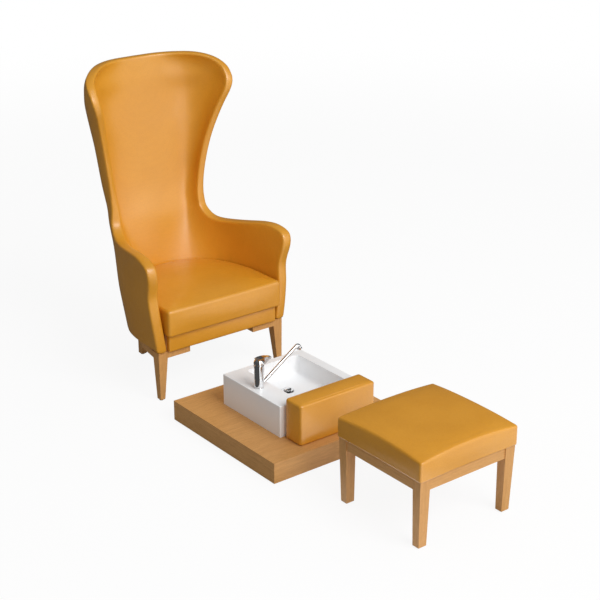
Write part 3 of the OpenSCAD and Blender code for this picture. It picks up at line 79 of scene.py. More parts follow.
class Wire:
    # one socket inside a material; sums of wires add their own nodes
    def __init__(self, tree, socket=None):
        self.tree = tree
        self.socket = socket

    def node(self, kind, settings=None, inputs=None, out=0):
        made = self.tree.nodes.new("ShaderNode" + kind)
        for name, value in (settings or {}).items():
            setattr(made, name, value)
        for name, value in (inputs or {}).items():
            if isinstance(value, Wire):
                self.tree.links.new(value.socket, made.inputs[name])
            else:
                made.inputs[name].default_value = value
        return Wire(self.tree, made.outputs[out])

    def math(self, operation, *values):
        return self.node("Math", {"operation": operation}, dict(enumerate(values)))

    def __add__(self, other):
        return self.math("ADD", self, other)

    def __radd__(self, other):
        return self.math("ADD", other, self)

    def __sub__(self, other):
        return self.math("SUBTRACT", self, other)

    def __rsub__(self, other):
        return self.math("SUBTRACT", other, self)

    def __mul__(self, other):
        return self.math("MULTIPLY", self, other)

    def __rmul__(self, other):
        return self.math("MULTIPLY", other, self)

    def stretched(self, factors):
        return self.node("VectorMath", {"operation": "MULTIPLY"}, {0: self, 1: factors})

    def shifted(self, other):
        return self.node("VectorMath", {"operation": "ADD"}, {0: self, 1: other})

    def towards(self, direction):
        # how far a direction leans towards another one
        return self.node("VectorMath", {"operation": "DOT_PRODUCT"},
                         {0: self, 1: direction}, out="Value")

    def between(self, low, high):
        # 0 at low, 1 at high, smooth in between
        return self.node("MapRange", {"interpolation_type": "SMOOTHSTEP"},
                         {"Value": self, "From Min": low, "From Max": high})

    def tint(self, first, second):
        return self.node("Mix", {"data_type": "RGBA"}, {
            0: self, 6: (*first, 1) if isinstance(first, tuple) else first,
            7: (*second, 1) if isinstance(second, tuple) else second}, out=2)

    def noise(self, size, detail=2, rough=0.5):
        return self.node("TexNoise", None, {
            "Vector": self, "Scale": 1 / size, "Detail": detail, "Roughness": rough})

    def relief(self, height, depth, strength):
        # the full height stands for a depth in metres
        return self.node("Bump", None, {"Height": height, "Distance": depth, "Strength": strength})

    def place(self):
        # the point in the piece's own frame
        return self.node("TexCoord", out="Object")


def emptied(block):
    # the start of a material's or world's own nodes
    block.use_nodes = True
    block.node_tree.nodes.clear()
    return Wire(block.node_tree)


def endShader(w, kind, shader):
    end = w.tree.nodes.new(kind)
    w.tree.links.new(shader.socket, end.inputs["Surface"])


def finish(name, recipe, **extra):
    material = bpy.data.materials.new(name)
    start = emptied(material)
    shader = start.node("BsdfPrincipled", None, recipe(start, **extra))
    endShader(start, "ShaderNodeOutputMaterial", shader)
    return material


leatherLook = {
    "bright": (0.825, 0.375, 0.024),
    "deep": (0.775, 0.343, 0.018),
    "crease": (0.580, 0.225, 0.009), "creaseShare": 0.35,
    "pebble": 0.0042,               # metres from pebble to pebble
    "pebbleDepth": 0.0005, "pebbleEdge": 0.32,
    "wander": 0.02, "sway": (0.004, 0.003, 0.004),
    "grain": 0.0016,
    "patch": 0.22,                  # size of the lighter and darker places
    "handled": 0.05,                # size of the places that hands have worn
    "roughness": (0.30, 0.42),
    "specular": 0.8, "coat": 0.28, "coatRoughness": 0.22,
}


def leather(w):
    look = leatherLook
    at = w.place()
    wander = at.noise(look["wander"], 2)
    warped = at.shifted(w.node("CombineXYZ", None, {i: wander * far for i, far in enumerate(look["sway"])}))
    edge = w.node("TexVoronoi", {"feature": "DISTANCE_TO_EDGE"},
                  {"Vector": warped, "Scale": 1 / look["pebble"], "Randomness": 0.85})
    pebble = edge.between(0.0, look["pebbleEdge"])
    fine = at.noise(look["grain"], 3, 0.6)
    patch = at.noise(look["patch"], 3, 0.5).between(0.32, 0.68)
    handled = at.noise(look["handled"], 4, 0.6).between(0.3, 0.75)
    colour = patch.tint(look["deep"], look["bright"])
    colour = ((1 - pebble) * look["creaseShare"]).tint(colour, look["crease"])
    low, high = look["roughness"]
    return {
        "Base Color": colour,
        "Roughness": low + (high - low) * (handled * 0.6 + (1 - pebble) * 0.4),
        "Specular IOR Level": look["specular"],
        "Coat Weight": look["coat"],
        "Coat Roughness": look["coatRoughness"],
        "Normal": w.relief(pebble * 0.8 + fine * 0.35, look["pebbleDepth"], 0.5),
    }


oakLook = {
    "light": (0.770, 0.410, 0.140),
    "mid": (0.680, 0.345, 0.108),
    "dark": (0.460, 0.210, 0.058),
    "board": 0.16,                  # metres across which the tone wanders
    "streak": 0.011,
    "line": 0.0026, "lineShare": 0.42,
    "pore": 0.0007, "poreShare": 0.40, "poreDepth": 0.00012,
    "wander": 0.14, "sway": 0.012,  # the grain's slow bends, and how far they go
    "roughness": 0.44, "specular": 0.4,
}
longGrain = {"x": (0.035, 1, 1), "y": (1, 0.035, 1), "z": (1, 1, 0.035)}


def oak(w, grain):
    look = oakLook
    at = w.place()
    if grain == "plinth":
        # the grain lies across the top, and turns to follow the two long sides
        facing = w.node("TexCoord", out="Normal")
        sideways = w.node("SeparateXYZ", None, {0: facing}, out=0)
        turn = w.math("GREATER_THAN", w.math("ABSOLUTE", sideways), 0.6)
        run = w.node("Mix", {"data_type": "VECTOR"}, {
            0: turn, 4: at.stretched(longGrain["x"]), 5: at.stretched(longGrain["y"])}, out=1)
    else:
        run = at.stretched(longGrain[grain])
    sway = at.noise(look["wander"], 2) * look["sway"]
    run = run.shifted(w.node("CombineXYZ", None, {0: sway, 1: sway, 2: sway}))
    board = run.noise(look["board"], 2).between(0.35, 0.65)
    streak = run.noise(look["streak"], 3, 0.55).between(0.30, 0.72)
    line = run.noise(look["line"], 3, 0.6).between(0.36, 0.70)
    pore = run.noise(look["pore"], 2, 0.5).between(0.56, 0.70)
    colour = (streak * 0.65 + board * 0.35).tint(look["mid"], look["light"])
    colour = (line * look["lineShare"]).tint(colour, look["dark"])
    colour = (pore * look["poreShare"]).tint(colour, look["dark"])
    return {
        "Base Color": colour,
        "Roughness": look["roughness"] + line * 0.10 + pore * 0.15,
        "Specular IOR Level": look["specular"],
        "Normal": w.relief(1 - (line * 0.4 + pore * 0.6), look["poreDepth"], 0.6),
    }


ceramicLook = {
    "tones": ((0.972, 0.980, 0.990), (0.982, 0.988, 0.996)),
    "cloud": 0.12, "wave": 0.035, "waveDepth": 0.0004,
    "roughness": 0.18, "specular": 0.20, "coat": 0.08, "coatRoughness": 0.05,
}


def ceramic(w):
    look = ceramicLook
    at = w.place()
    cloud = at.noise(look["cloud"], 2)
    wave = at.noise(look["wave"], 1)
    return {
        "Base Color": cloud.tint(*look["tones"]),
        "Roughness": look["roughness"] + cloud * 0.10,
        "Specular IOR Level": look["specular"],
        "Coat Weight": look["coat"],
        "Coat Roughness": look["coatRoughness"],
        "Normal": w.relief(wave, look["waveDepth"], 0.25),
    }


def metal(w, tone, rough, smear):
    haze = w.place().noise(0.03, 3, 0.6)
    return {
        "Base Color": haze.tint(tone, tuple(c * 0.93 for c in tone)),
        "Metallic": 1.0,
        "Roughness": rough + haze * smear,
    }


def plastic(w, tone, rough, speck):
    at = w.place()
    haze = at.noise(0.02, 3)
    grain = at.noise(speck, 2)
    return {
        "Base Color": haze.tint(tone, tuple(min(c * 1.12 + 0.004, 1) for c in tone)),
        "Roughness": rough + haze * 0.12,
        "Normal": w.relief(grain, 0.0002, 0.3),
    }


def cloth(w, tone, thread):
    at = w.place()
    warp, weft = [at.node("TexWave", {"bands_direction": axis},
                          {"Vector": at, "Scale": 0.5 / thread, "Distortion": 0.4}) for axis in "XY"]
    weave = w.math("MAXIMUM", warp, weft)
    fade = at.noise(0.09, 3)
    return {
        "Base Color": (weave * 0.5 + fade * 0.5).tint(tuple(c * 0.7 for c in tone), tone),
        "Roughness": 0.86 + fade * 0.1,
        "Sheen Weight": 0.15,
        "Normal": w.relief(weave, 0.0003, 0.6),
    }


finishes = {
    "leather": finish("leather", leather),
    "oak": finish("oakUpright", oak, grain="z"),
    "oakX": finish("oakAcross", oak, grain="x"),
    "oakY": finish("oakLengthways", oak, grain="y"),
    "oakPlinth": finish("oakPlinth", oak, grain="plinth"),
    "frame_wood": finish("frameWood", oak, grain="x"),
    "webbing": finish("webbing", cloth, tone=(0.19, 0.15, 0.11), thread=0.0018),
    "black_cloth": finish("blackCloth", cloth, tone=(0.022, 0.022, 0.024), thread=0.0012),
    "zinc_steel": finish("zincSteel", metal, tone=(0.62, 0.63, 0.65), rough=0.28, smear=0.15),
    "black_plastic": finish("blackPlastic", plastic, tone=(0.020, 0.020, 0.021), rough=0.42, speck=0.001),
    "white_plastic": finish("whitePlastic", plastic, tone=(0.72, 0.72, 0.70), rough=0.35, speck=0.002),
    "white_ceramic": finish("whiteCeramic", ceramic),
    "chrome": finish("chrome", metal, tone=(0.86, 0.865, 0.875), rough=0.035, smear=0.05),
    "brass": finish("brass", metal, tone=(0.80, 0.62, 0.30), rough=0.22, smear=0.12),
    "black_rubber": finish("blackRubber", plastic, tone=(0.016, 0.016, 0.016), rough=0.66, speck=0.0015),
}
grainOf = {
    "plinth_top": "oakPlinth", "plinth_panel_front": "oakPlinth", "plinth_panel_rear": "oakPlinth",
    "plinth_panel_left": "oakPlinth", "plinth_panel_right": "oakPlinth",
    "stool_apron_front": "oakX", "stool_apron_rear": "oakX",
    "stool_apron_left": "oakY", "stool_apron_right": "oakY",
    "chair_rear_rail": "oakX",
}


def dressNodes():
    slotOf = {}
    for entry in frame["record"]["materials"]:
        for name in entry.get("nodes", []):
            slotOf[name] = entry["slot"]
    for name, piece in nodes.items():
        own = slotOf.get(name)
        for holder in piece.material_slots:
            wanted = grainOf.get(name) or own or holder.material.name.split(".")[0]
            holder.material = finishes[wanted]
    print("finishes on", len(nodes), "nodes")


dressNodes()


def along(table, s):
    # a smooth curve through the rows of a table, whose first column is the place along it
    rows = np.array(table, float)
    place = rows[:, 0]
    slope = np.empty_like(rows)
    slope[1:-1] = (rows[2:] - rows[:-2]) / (place[2:] - place[:-2])[:, None]
    slope[0] = (rows[1] - rows[0]) / (place[1] - place[0])
    slope[-1] = (rows[-1] - rows[-2]) / (place[-1] - place[-2])
    s = np.asarray(s, float)
    i = np.clip(np.searchsorted(place, s, side="right") - 1, 0, len(place) - 2)
    h = (place[i + 1] - place[i])[..., None]
    u = (s - place[i])[..., None] / h
    return ((2 * u**3 - 3 * u**2 + 1) * rows[i] + (u**3 - 2 * u**2 + u) * h * slope[i]
            + (3 * u**2 - 2 * u**3) * rows[i + 1] + (u**3 - u**2) * h * slope[i + 1])


def unit(v):
    return v / np.linalg.norm(v, axis=-1, keepdims=True)


def addPiece(name, points, faces, finishName):
    mesh = bpy.data.meshes.new(name)
    mesh.from_pydata([tuple(map(float, p)) for p in points], [], [tuple(map(int, f)) for f in faces])
    mesh.validate()
    mesh.update()
    mesh.shade_smooth()
    piece = bpy.data.objects.new(name, mesh)
    scene.collection.objects.link(piece)
    mesh.materials.append(finishes[finishName])
    return piece


def settle(piece, body, slotName, *replaced):
    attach(piece, body)
    if replaced:
        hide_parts(*replaced)


def asMade(piece):
    return bpy.data.meshes.new_from_object(piece.evaluated_get(bpy.context.evaluated_depsgraph_get()))


def plainMesh(piece):
    # what the modifiers make becomes the piece's own mesh
    bpy.context.view_layer.update()
    made = asMade(piece)
    piece.modifiers.clear()
    old = piece.data
    piece.data = made
    bpy.data.meshes.remove(old)
    made.shade_smooth()


shell = {
    "height": 1.490, "halfWidth": 0.417, "depth": 0.724, "foot": 0.245,
    "front": 0.508,                 # where the arm fronts stand along the set
    "wall": 0.054, "rim": 0.013, "rimSquare": 0.62,
    "armReach": 0.35,
    "beside": 0.01,                 # how far apart two places on the plan are that give its direction
    "armCols": 17, "wingCols": 26, "lowRows": 22, "highRows": 33, "rimSteps": 8,
    "walls": [                      # the wall is thinner above the arms
        (0.16, 1), (0.30, 1), (0.45, 1), (0.48, 0.97), (0.53, 0.80), (0.58, 0.70), (0.68, 0.68),
        (0.80, 0.72), (0.90, 0.78), (1, 0.80)],
    "armFront": [
        (0.16, 0.890, -0.011), (0.22, 0.922, -0.010), (0.29, 0.952, -0.002), (0.35, 0.966, 0.011),
        (0.38, 0.973, -0.002), (0.41, 0.986, -0.020), (0.43, 0.993, -0.024), (0.445, 0.997, -0.020),
        (0.46, 0.997, -0.004), (0.475, 0.994, 0.028), (0.49, 0.975, 0.090)],
    "wingEdge": [
        (0.16, 0.655, 0.552), (0.25, 0.655, 0.612), (0.32, 0.660, 0.658), (0.40, 0.670, 0.692),
        (0.48, 0.673, 0.714), (0.53, 0.648, 0.718), (0.585, 0.652, 0.716), (0.65, 0.683, 0.706),
        (0.718, 0.734, 0.688), (0.782, 0.796, 0.657), (0.845, 0.870, 0.618), (0.875, 0.912, 0.596),
        (0.905, 0.944, 0.586), (0.930, 0.958, 0.601), (0.954, 0.958, 0.645), (1.0, 0.958, 0.685)],
    "wingTurn": [
        (0.16, 0.50, 0.32), (0.32, 0.56, 0.38), (0.48, 0.84, 0.52), (0.60, 1.14, 0.52),
        (0.75, 1.17, 0.455), (0.87, 1.04, 0.48), (0.93, 1.02, 0.39), (1.0, 0.50, 0.42)],
    "backLine": [
        (0.16, 0.757), (0.32, 0.812), (0.48, 0.866), (0.60, 0.911), (0.75, 0.949), (0.87, 0.977),
        (1.0, 0.999)],
    "armTop": [
        (0, 0.464), (0.05, 0.473), (0.12, 0.477), (0.28, 0.474), (0.50, 0.463), (0.70, 0.454),
        (0.85, 0.451), (0.94, 0.459), (1, 0.482)],
    "wingTop": [
        (0, 0.956), (0.05, 0.971), (0.10, 0.982), (0.17, 0.991), (0.25, 0.997), (0.35, 1.0),
        (0.5, 1.0), (0.75, 0.9985), (0.93, 0.997), (1, 0.997)],
}


def bezier(a, b, c, d, t):
    t = t[..., None]
    return (1 - t)**3 * a + 3 * (1 - t)**2 * t * b + 3 * (1 - t) * t**2 * c + t**3 * d


def rowAt(table, z):
    return along(shell[table], z / shell["height"])


def planOf(table, z):
    row = rowAt(table, z)
    return np.stack([row[..., 1] * shell["halfWidth"], row[..., 2] * shell["depth"]], -1)


def wingDir(z):
    a = np.radians(rowAt("wingTurn", z)[..., 1] * 90)
    return np.stack([-np.cos(a), np.sin(a)], -1)


def wingPoint(z, t):
    a = planOf("wingEdge", z)
    back = rowAt("backLine", z)[..., 1] * shell["depth"]
    b = np.stack([np.zeros_like(back), back], -1)
    k = rowAt("wingTurn", z)[..., 2:3] * np.linalg.norm(a - b, axis=-1, keepdims=True)
    return bezier(a, a + k * wingDir(z), b + k * np.array([1.0, 0.0]), b, t)


def armPoint(z, t):
    f = planOf("armFront", z)
    a = planOf("wingEdge", z)
    k = shell["armReach"] * np.linalg.norm(a - f, axis=-1, keepdims=True)
    d = unit((a - f) * np.array([1.0, 3.0]))
    return bezier(f, f + k * d, a - k * wingDir(z), a, t)


def shellPlan(z, u):
    # u runs 0 to 1 over the arm, and 1 to 2 over the wing and half the back
    onArm = (u < 1)[..., None]
    return np.where(onArm, armPoint(z, np.clip(u, 0, 1)), wingPoint(z, np.clip(u - 1, 0, 1)))


def inside(z, u, depth):
    # the plan a depth inside the shell's outer face
    z, u = np.broadcast_arrays(np.asarray(z, float), np.asarray(u, float))
    a = shellPlan(z, np.maximum(u - shell["beside"], 0))
    b = shellPlan(z, np.minimum(u + shell["beside"], 2))
    normal = unit(np.stack([b[..., 1] - a[..., 1], a[..., 0] - b[..., 0]], -1))
    normal = np.where((u == 2)[..., None], np.array([0.0, 1.0]), normal)
    return shellPlan(z, u) - depth * normal


def shellColumn(u, depth):
    lowTop = along(shell["armTop"], min(u, 1))[1] * shell["height"]
    heights = list(np.linspace(shell["foot"], lowTop, shell["lowRows"]))
    if u >= 1:
        top = along(shell["wingTop"], u - 1)[1] * shell["height"]
        heights += list(np.linspace(lowTop, top, shell["highRows"])[1:])
    z = np.array(heights)
    plan = inside(z, np.full_like(z, u), depth * rowAt("walls", z)[:, 1:])
    return np.column_stack([plan, z])


def makeShell():
    s = shell
    us = [i / s["armCols"] for i in range(s["armCols"])]
    us += [1 + i / (s["wingCols"] - 1) for i in range(s["wingCols"])]
    flip = np.array([-1, 1, 1])

    def bothSides(depth):
        right = [shellColumn(u, depth) for u in us]
        return right + [c * flip for c in right[-2::-1]]

    outer, inner = bothSides(0), bothSides(s["wall"])
    columns = len(outer)
    first = np.cumsum([0] + [len(c) for c in outer])
    total = first[-1]
    tall = s["lowRows"] + s["highRows"] - 1
    edge = [(0, r) for r in range(s["lowRows"])]
    edge += [(c, s["lowRows"] - 1) for c in range(1, s["armCols"])]
    edge += [(s["armCols"], r) for r in range(s["lowRows"] - 1, tall)]
    edge += [(c, tall - 1) for c in range(s["armCols"] + 1, len(us))]
    edge += [(columns - 1 - c, r) for c, r in edge[-2::-1]]
    line = np.array([outer[c][r] for c, r in edge])
    across = np.array([outer[c][r] - inner[c][r] for c, r in edge])
    ends = np.arange(len(edge))
    tangent = line[np.minimum(ends + 1, len(edge) - 1)] - line[np.maximum(ends - 1, 0)]
    out = unit(np.cross(across, tangent))
    for i in (0, -1):
        out[i] = unit(out[i] * np.array([1, 1, 0]))
    for i, (c, r) in enumerate(edge):
        outer[c][r] = outer[c][r] - s["rim"] * out[i]
        inner[c][r] = inner[c][r] - s["rim"] * out[i]
    points = [p for c in outer for p in c] + [p for c in inner for p in c]
    for i, (c, r) in enumerate(edge):
        a, b = outer[c][r], inner[c][r]
        for k in range(1, s["rimSteps"]):
            turn = math.pi * k / s["rimSteps"]
            flat = math.copysign(abs(math.cos(turn))**s["rimSquare"], math.cos(turn))
            if k * 2 == s["rimSteps"]:
                flat = 0
            lift = math.sin(turn)**s["rimSquare"] * s["rim"]
            points.append((a + b) / 2 + flat * (a - b) / 2 + lift * out[i])

    def rim(i, k):
        c, r = edge[i]
        if k == 0:
            return first[c] + r
        if k == s["rimSteps"]:
            return total + first[c] + r
        return 2 * total + i * (s["rimSteps"] - 1) + k - 1

    faces = []
    for c in range(columns - 1):
        for r in range(min(len(outer[c]), len(outer[c + 1])) - 1):
            a, b = first[c] + r, first[c + 1] + r
            faces.append((a, b, b + 1, a + 1))
            faces.append((total + a, total + a + 1, total + b + 1, total + b))
        a, b = first[c], first[c + 1]
        faces.append((a, total + a, total + b, b))
    for i in range(len(edge) - 1):
        for k in range(s["rimSteps"]):
            faces.append((rim(i, k), rim(i + 1, k), rim(i + 1, k + 1), rim(i, k + 1)))
    faces.append([rim(0, k) for k in range(s["rimSteps"] + 1)])
    faces.append([rim(len(edge) - 1, k) for k in range(s["rimSteps"], -1, -1)])
    points = [p + np.array([0, s["front"], 0]) for p in points]
    piece = addPiece("wingShell", points, faces, "leather")
    turnOutward(piece)
    soften = piece.modifiers.new("soften", "SUBSURF")
    soften.levels = soften.render_levels = 1
    plainMesh(piece)
    settle(piece, "chair", "leather", "chair_shell")
    print("wing shell:", len(piece.data.polygons), "faces")


def turnOutward(piece):
    bm = bmesh.new()
    bm.from_mesh(piece.data)
    bmesh.ops.remove_doubles(bm, verts=bm.verts, dist=1e-5)
    bmesh.ops.recalc_face_normals(bm, faces=bm.faces)
    if bm.calc_volume(signed=True) < 0:
        bmesh.ops.reverse_faces(bm, faces=bm.faces)
    bm.to_mesh(piece.data)
    bm.free()
    piece.data.shade_smooth()


makeShell()


def formOfRings(name, rings, low, high):
    n = len(rings[0])
    points = [p for ring in rings for p in ring] + [low, high]
    faces = []
    for k in range(len(rings) - 1):
        for i in range(n):
            j = (i + 1) % n
            faces.append((k * n + i, k * n + j, (k + 1) * n + j, (k + 1) * n + i))
    last = (len(rings) - 1) * n
    for i in range(n):
        j = (i + 1) % n
        faces.append((len(rings) * n, j, i))
        faces.append((len(rings) * n + 1, last + i, last + j))
    piece = addPiece(name, points, faces, "leather")
    turnOutward(piece)
    return piece


airing = {
    "frames": 14, "quality": 4, "mass": 0.3, "shear": 8, "bending": 1.5,
    "facingUp": (0.30, 0.90),       # a rolled edge faces up by a share between these
    "facingSide": 0.93,             # a side faces x or y by more than this
    "neighbours": 7, "nearest": 0.001, "still": 1e-9,
}


def swell(piece, look):
    # a copy in even voxels is blown up as cloth, and the fine form follows it; the rolled edges hold
    copy = bpy.data.objects.new(piece.name + "Air", piece.data.copy())
    scene.collection.objects.link(copy)
    even = copy.modifiers.new("even", "REMESH")
    even.mode = "VOXEL"
    even.voxel_size = look["voxel"]
    plainMesh(copy)
    mesh = copy.data
    count = len(mesh.vertices)
    start, facing = np.empty(count * 3, np.float32), np.empty(count * 3, np.float32)
    mesh.vertices.foreach_get("co", start)
    mesh.vertex_normals.foreach_get("vector", facing)
    start, facing = start.reshape(-1, 3), abs(facing.reshape(-1, 3))
    least, most = airing["facingUp"]
    upright = facing[:, 2] <= least
    roll = ~upright & (facing[:, 2] < most)
    corner = upright & (np.maximum(facing[:, 0], facing[:, 1]) < airing["facingSide"])
    low = start[:, 2] < start[:, 2].min() + look["held"]
    back = start[:, 1] > look.get("free", math.inf)
    hold = roll | corner | low | (back & upright)
    air = copy.modifiers.new("air", "CLOTH")
    s = air.settings
    s.quality = airing["quality"]
    s.mass = airing["mass"]
    s.tension_stiffness = s.compression_stiffness = look["stiff"]
    s.shear_stiffness = airing["shear"]
    s.bending_stiffness = airing["bending"]
    s.use_pressure = True
    s.uniform_pressure_force = look["pressure"]
    s.effector_weights.gravity = 0
    air.collision_settings.use_collision = False
    air.point_cache.frame_start = 1
    air.point_cache.frame_end = airing["frames"]
    held = copy.vertex_groups.new(name="held")
    held.add([int(i) for i in np.flatnonzero(hold)], 1.0, "REPLACE")
    s.vertex_group_mass = "held"
    for f in range(1, airing["frames"] + 1):
        scene.frame_set(f)
    made = asMade(copy)
    moved = np.empty(count * 3, np.float32)
    made.vertices.foreach_get("co", moved)
    bpy.data.meshes.remove(made)
    bpy.data.objects.remove(copy)
    bpy.data.meshes.remove(mesh)
    scene.frame_set(1)
    step = moved.reshape(-1, 3) - start
    far, limit, still = np.linalg.norm(step, axis=1, keepdims=True), look["cap"], airing["still"]
    step *= np.where(far > still, limit * np.tanh(far / limit) / np.maximum(far, still), 0)
    near = kdtree.KDTree(count)
    for i, p in enumerate(start):
        near.insert(p, i)
    near.balance()
    for v in piece.data.vertices:
        found = near.find_n(v.co, airing["neighbours"])
        weight = np.array([1 / (gap + airing["nearest"]) for _, _, gap in found])
        drift = (step[[i for _, i, _ in found]] * weight[:, None]).sum(0) / weight.sum()
        v.co += Vector(tuple(drift))
    piece.data.update()
    finer = piece.modifiers.new("finer", "SUBSURF")
    finer.levels = finer.render_levels = 1
    plainMesh(piece)
    reach = float(np.linalg.norm(step, axis=1).max())
    print(piece.name, "swelled by up to", round(reach * 1000, 1), "mm,", len(piece.data.polygons), "faces")


def makePad(name, body, node, look, rings, move, heights, middle=(0, 0)):
    # the rings are closed by a point below their middle and one above it
    rings = [ring + np.array([*move, 0]) for ring in rings]
    centre = np.add(move, middle)
    piece = formOfRings(name, rings, *[(*centre, z) for z in heights])
    swell(piece, look)
    settle(piece, body, "leather", node)


def wallOf(height, lowRoll, topRoll, between=14):
    # heights and insets up a wall with a rounded lower and upper edge
    turns = [math.radians(15 * k) for k in range(7)]
    low = [(lowRoll * (1 - math.cos(a)), lowRoll * (1 - math.sin(a))) for a in turns]
    top = [(height - topRoll * (1 - math.sin(a)), topRoll * (1 - math.cos(a))) for a in turns]
    first, last = lowRoll, height - topRoll
    return low + [(first + (last - first) * k / between, 0) for k in range(1, between)] + top


leastRound = 0.0008                 # of a corner, on the rings that lie inside it
crownSquare = 3.4


def outline(halfW, halfD, r, draw, perSide=48, perCorner=8):
    # counter-clockwise; the middles of the sides are drawn in
    pts = []
    corners = [(1, -1), (1, 1), (-1, 1), (-1, -1)]
    for q, (sx, sy) in enumerate(corners):
        nx, ny = corners[(q + 1) % 4]
        centre = np.array([sx * (halfW - r), sy * (halfD - r)])
        following = np.array([nx * (halfW - r), ny * (halfD - r)])
        facing = np.array([[1, 0], [0, 1], [-1, 0], [0, -1]][q], float)
        for i in range(perCorner):
            a = math.radians(-90 + 90 * q + 90 * i / perCorner)
            pts.append(centre + r * np.array([math.cos(a), math.sin(a)]))
        for i in range(perSide):
            t = i / perSide
            p = centre + (following - centre) * t + r * facing
            pts.append(p - 4 * t * (1 - t) * draw[q % 2] * facing)
    return np.array(pts)


def ringAt(half, r, draw, inset, z):
    plan = outline(half[0] - inset, half[1] - inset, max(r - inset, leastRound), draw)
    return np.column_stack([plan, np.full(len(plan), z)])


def outwards(ring, half, power):
    # 0 at the middle to 1 at the sides, across and along
    return [np.minimum(abs(ring[:, k]) / half[k], 1)**power for k in (0, 1)]


def crownRings(ring, half, z, rise):
    made = []
    for share in topShares:
        p = ring.copy()
        p[:, :2] *= share
        across, length = outwards(p, half, crownSquare)
        p[:, 2] = z + rise * ((1 - across) * (1 - length))
        made.append(p)
    return made


topShares = [0.985, 0.965, 0.94, 0.91, 0.87, 0.82, 0.76, 0.69, 0.61, 0.52, 0.42, 0.31, 0.2, 0.1]
stoolPad = {
    "corner": 0.012, "topRoll": 0.009, "lowRoll": 0.006, "draw": 0.004, "crown": 0.008,
    "arch": 0.017,                  # rise of the middle of each edge over the corners
    "archLevels": [(0, 0), (0.6, 0.05), (0.85, 0.22), (0.9, 0.34), (0.95, 0.68), (0.98, 0.88), (1, 1)],
    "rollDraw": 0.005,              # how much wider the roll is at the middle of each edge
    "over": 0.001,                  # how far it stands past the plain form
    "voxel": 0.008, "cap": 0.0035, "pressure": 3, "stiff": 30, "held": 0.010,
}


def makeStoolPad():
    look = stoolPad
    low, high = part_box("stool_cushion")
    centre = (low + high) / 2
    half = ((high.x - low.x) / 2 + look["over"], (high.y - low.y) / 2 + look["over"])
    top = high.z - look["crown"] - look["arch"] + look["over"]
    tall = top - low.z

    def arched(ring, share):
        across, length = outwards(ring, half, 2)
        return ring + np.array([0, 0, 1]) * (share * look["arch"] * (1 - across * length))[:, None]

    rings = []
    for h, inset in wallOf(tall, look["lowRoll"], look["topRoll"]):
        share = along(look["archLevels"], h / tall)[1]
        wider = look["rollDraw"] * inset / look["topRoll"] if h > tall / 2 else 0
        draw = (look["draw"] + wider, look["draw"] + wider)
        rings.append(arched(ringAt(half, look["corner"], draw, inset, low.z + h), share))
    edge = ringAt(half, look["corner"], draw, look["topRoll"], top)
    rings += [arched(ring, 1) for ring in crownRings(edge, half, top, look["crown"])]
    makePad("stoolPad", "stool", "stool_cushion", look, rings, centre[:2],
            (low.z, top + look["arch"] + look["crown"]))


makeStoolPad()

footPad = {
    "corner": 0.015, "topRoll": 0.013, "lowRoll": 0.010, "draw": (-0.001, -0.002), "crown": 0.004,
    "over": (0.000, 0.003),         # how far it stands past the plain form, across and along
    "puffed": 0.6,
    "voxel": 0.007, "cap": 0.003, "pressure": 3, "stiff": 30, "held": 0.008,
}


def makeFootPad():
    look = footPad
    low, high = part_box("footrest_pad")
    centre = (low + high) / 2
    half = ((high.x - low.x) / 2 + look["over"][0], (high.y - low.y) / 2 + look["over"][1])
    top = high.z - look["crown"]
    tall = top - low.z
    rings = []
    for h, inset in wallOf(tall, look["lowRoll"], look["topRoll"], 22):
        puff = math.sin(math.pi * min(max(h / tall, 0), 1))**look["puffed"]
        draw = tuple(d * puff for d in look["draw"])
        rings.append(ringAt(half, look["corner"], draw, inset, low.z + h))
    rings += crownRings(rings[-1], half, top, look["crown"])
    makePad("footPad", "plinth", "footrest_pad", look, rings, centre[:2], (low.z, top + look["crown"]))


makeFootPad()

seat = {
    "halfWidth": 0.326, "nose": 0.042, "corner": 0.28, "gap": 0.004,
    "edgeHeight": 0.136, "topRoll": 0.018, "lowRoll": 0.010,
    "crown": 0.020, "domed": 2.4, "bulge": 0.007, "puffed": 0.7,
    "sideFrom": 0.004,              # from the end of the corner to the first place on the side
    "low": 0.3293, "middle": 0.32,
    "within": 0.001,                # how far it stays inside the plain form
    "voxel": 0.009, "cap": 0.004, "pressure": 3, "stiff": 25, "held": 0.010,
    "free": 0.56,                   # behind this line the sides lie against the shell and stay
}


def seatRing(z, inset, bulge):
    s = seat
    x, y = s["halfWidth"] - inset - s["within"], -s["nose"] + inset + s["within"]
    r = s["nose"] * s["corner"]
    front = [((x - r) * t, y - bulge * (1 - t**3)) for t in np.linspace(0, 1, 25)]
    front += [(x - r + r * math.sin(a), y + r - r * math.cos(a)) for a in np.radians([15, 30, 45, 60, 75])]
    front.append((x, y + r))
    u = np.concatenate([np.linspace(0.2, 1.0, 30), np.linspace(1.0, 2.0, 36)[1:]])
    side = inside(np.full_like(u, z), u, shell["wall"] + s["gap"] + inset + s["within"])
    side[:, 0] = np.minimum(side[:, 0], x)
    side[:, 1] = np.maximum(side[:, 1], y)
    side = [p for p in side if p[1] > y + r + s["sideFrom"]]
    half = front + [tuple(p) for p in side]
    half[-1] = (0.0, half[-1][1])
    whole = half + [(-px, py) for px, py in half[-2:0:-1]]
    return np.array([(px, py, z) for px, py in whole])


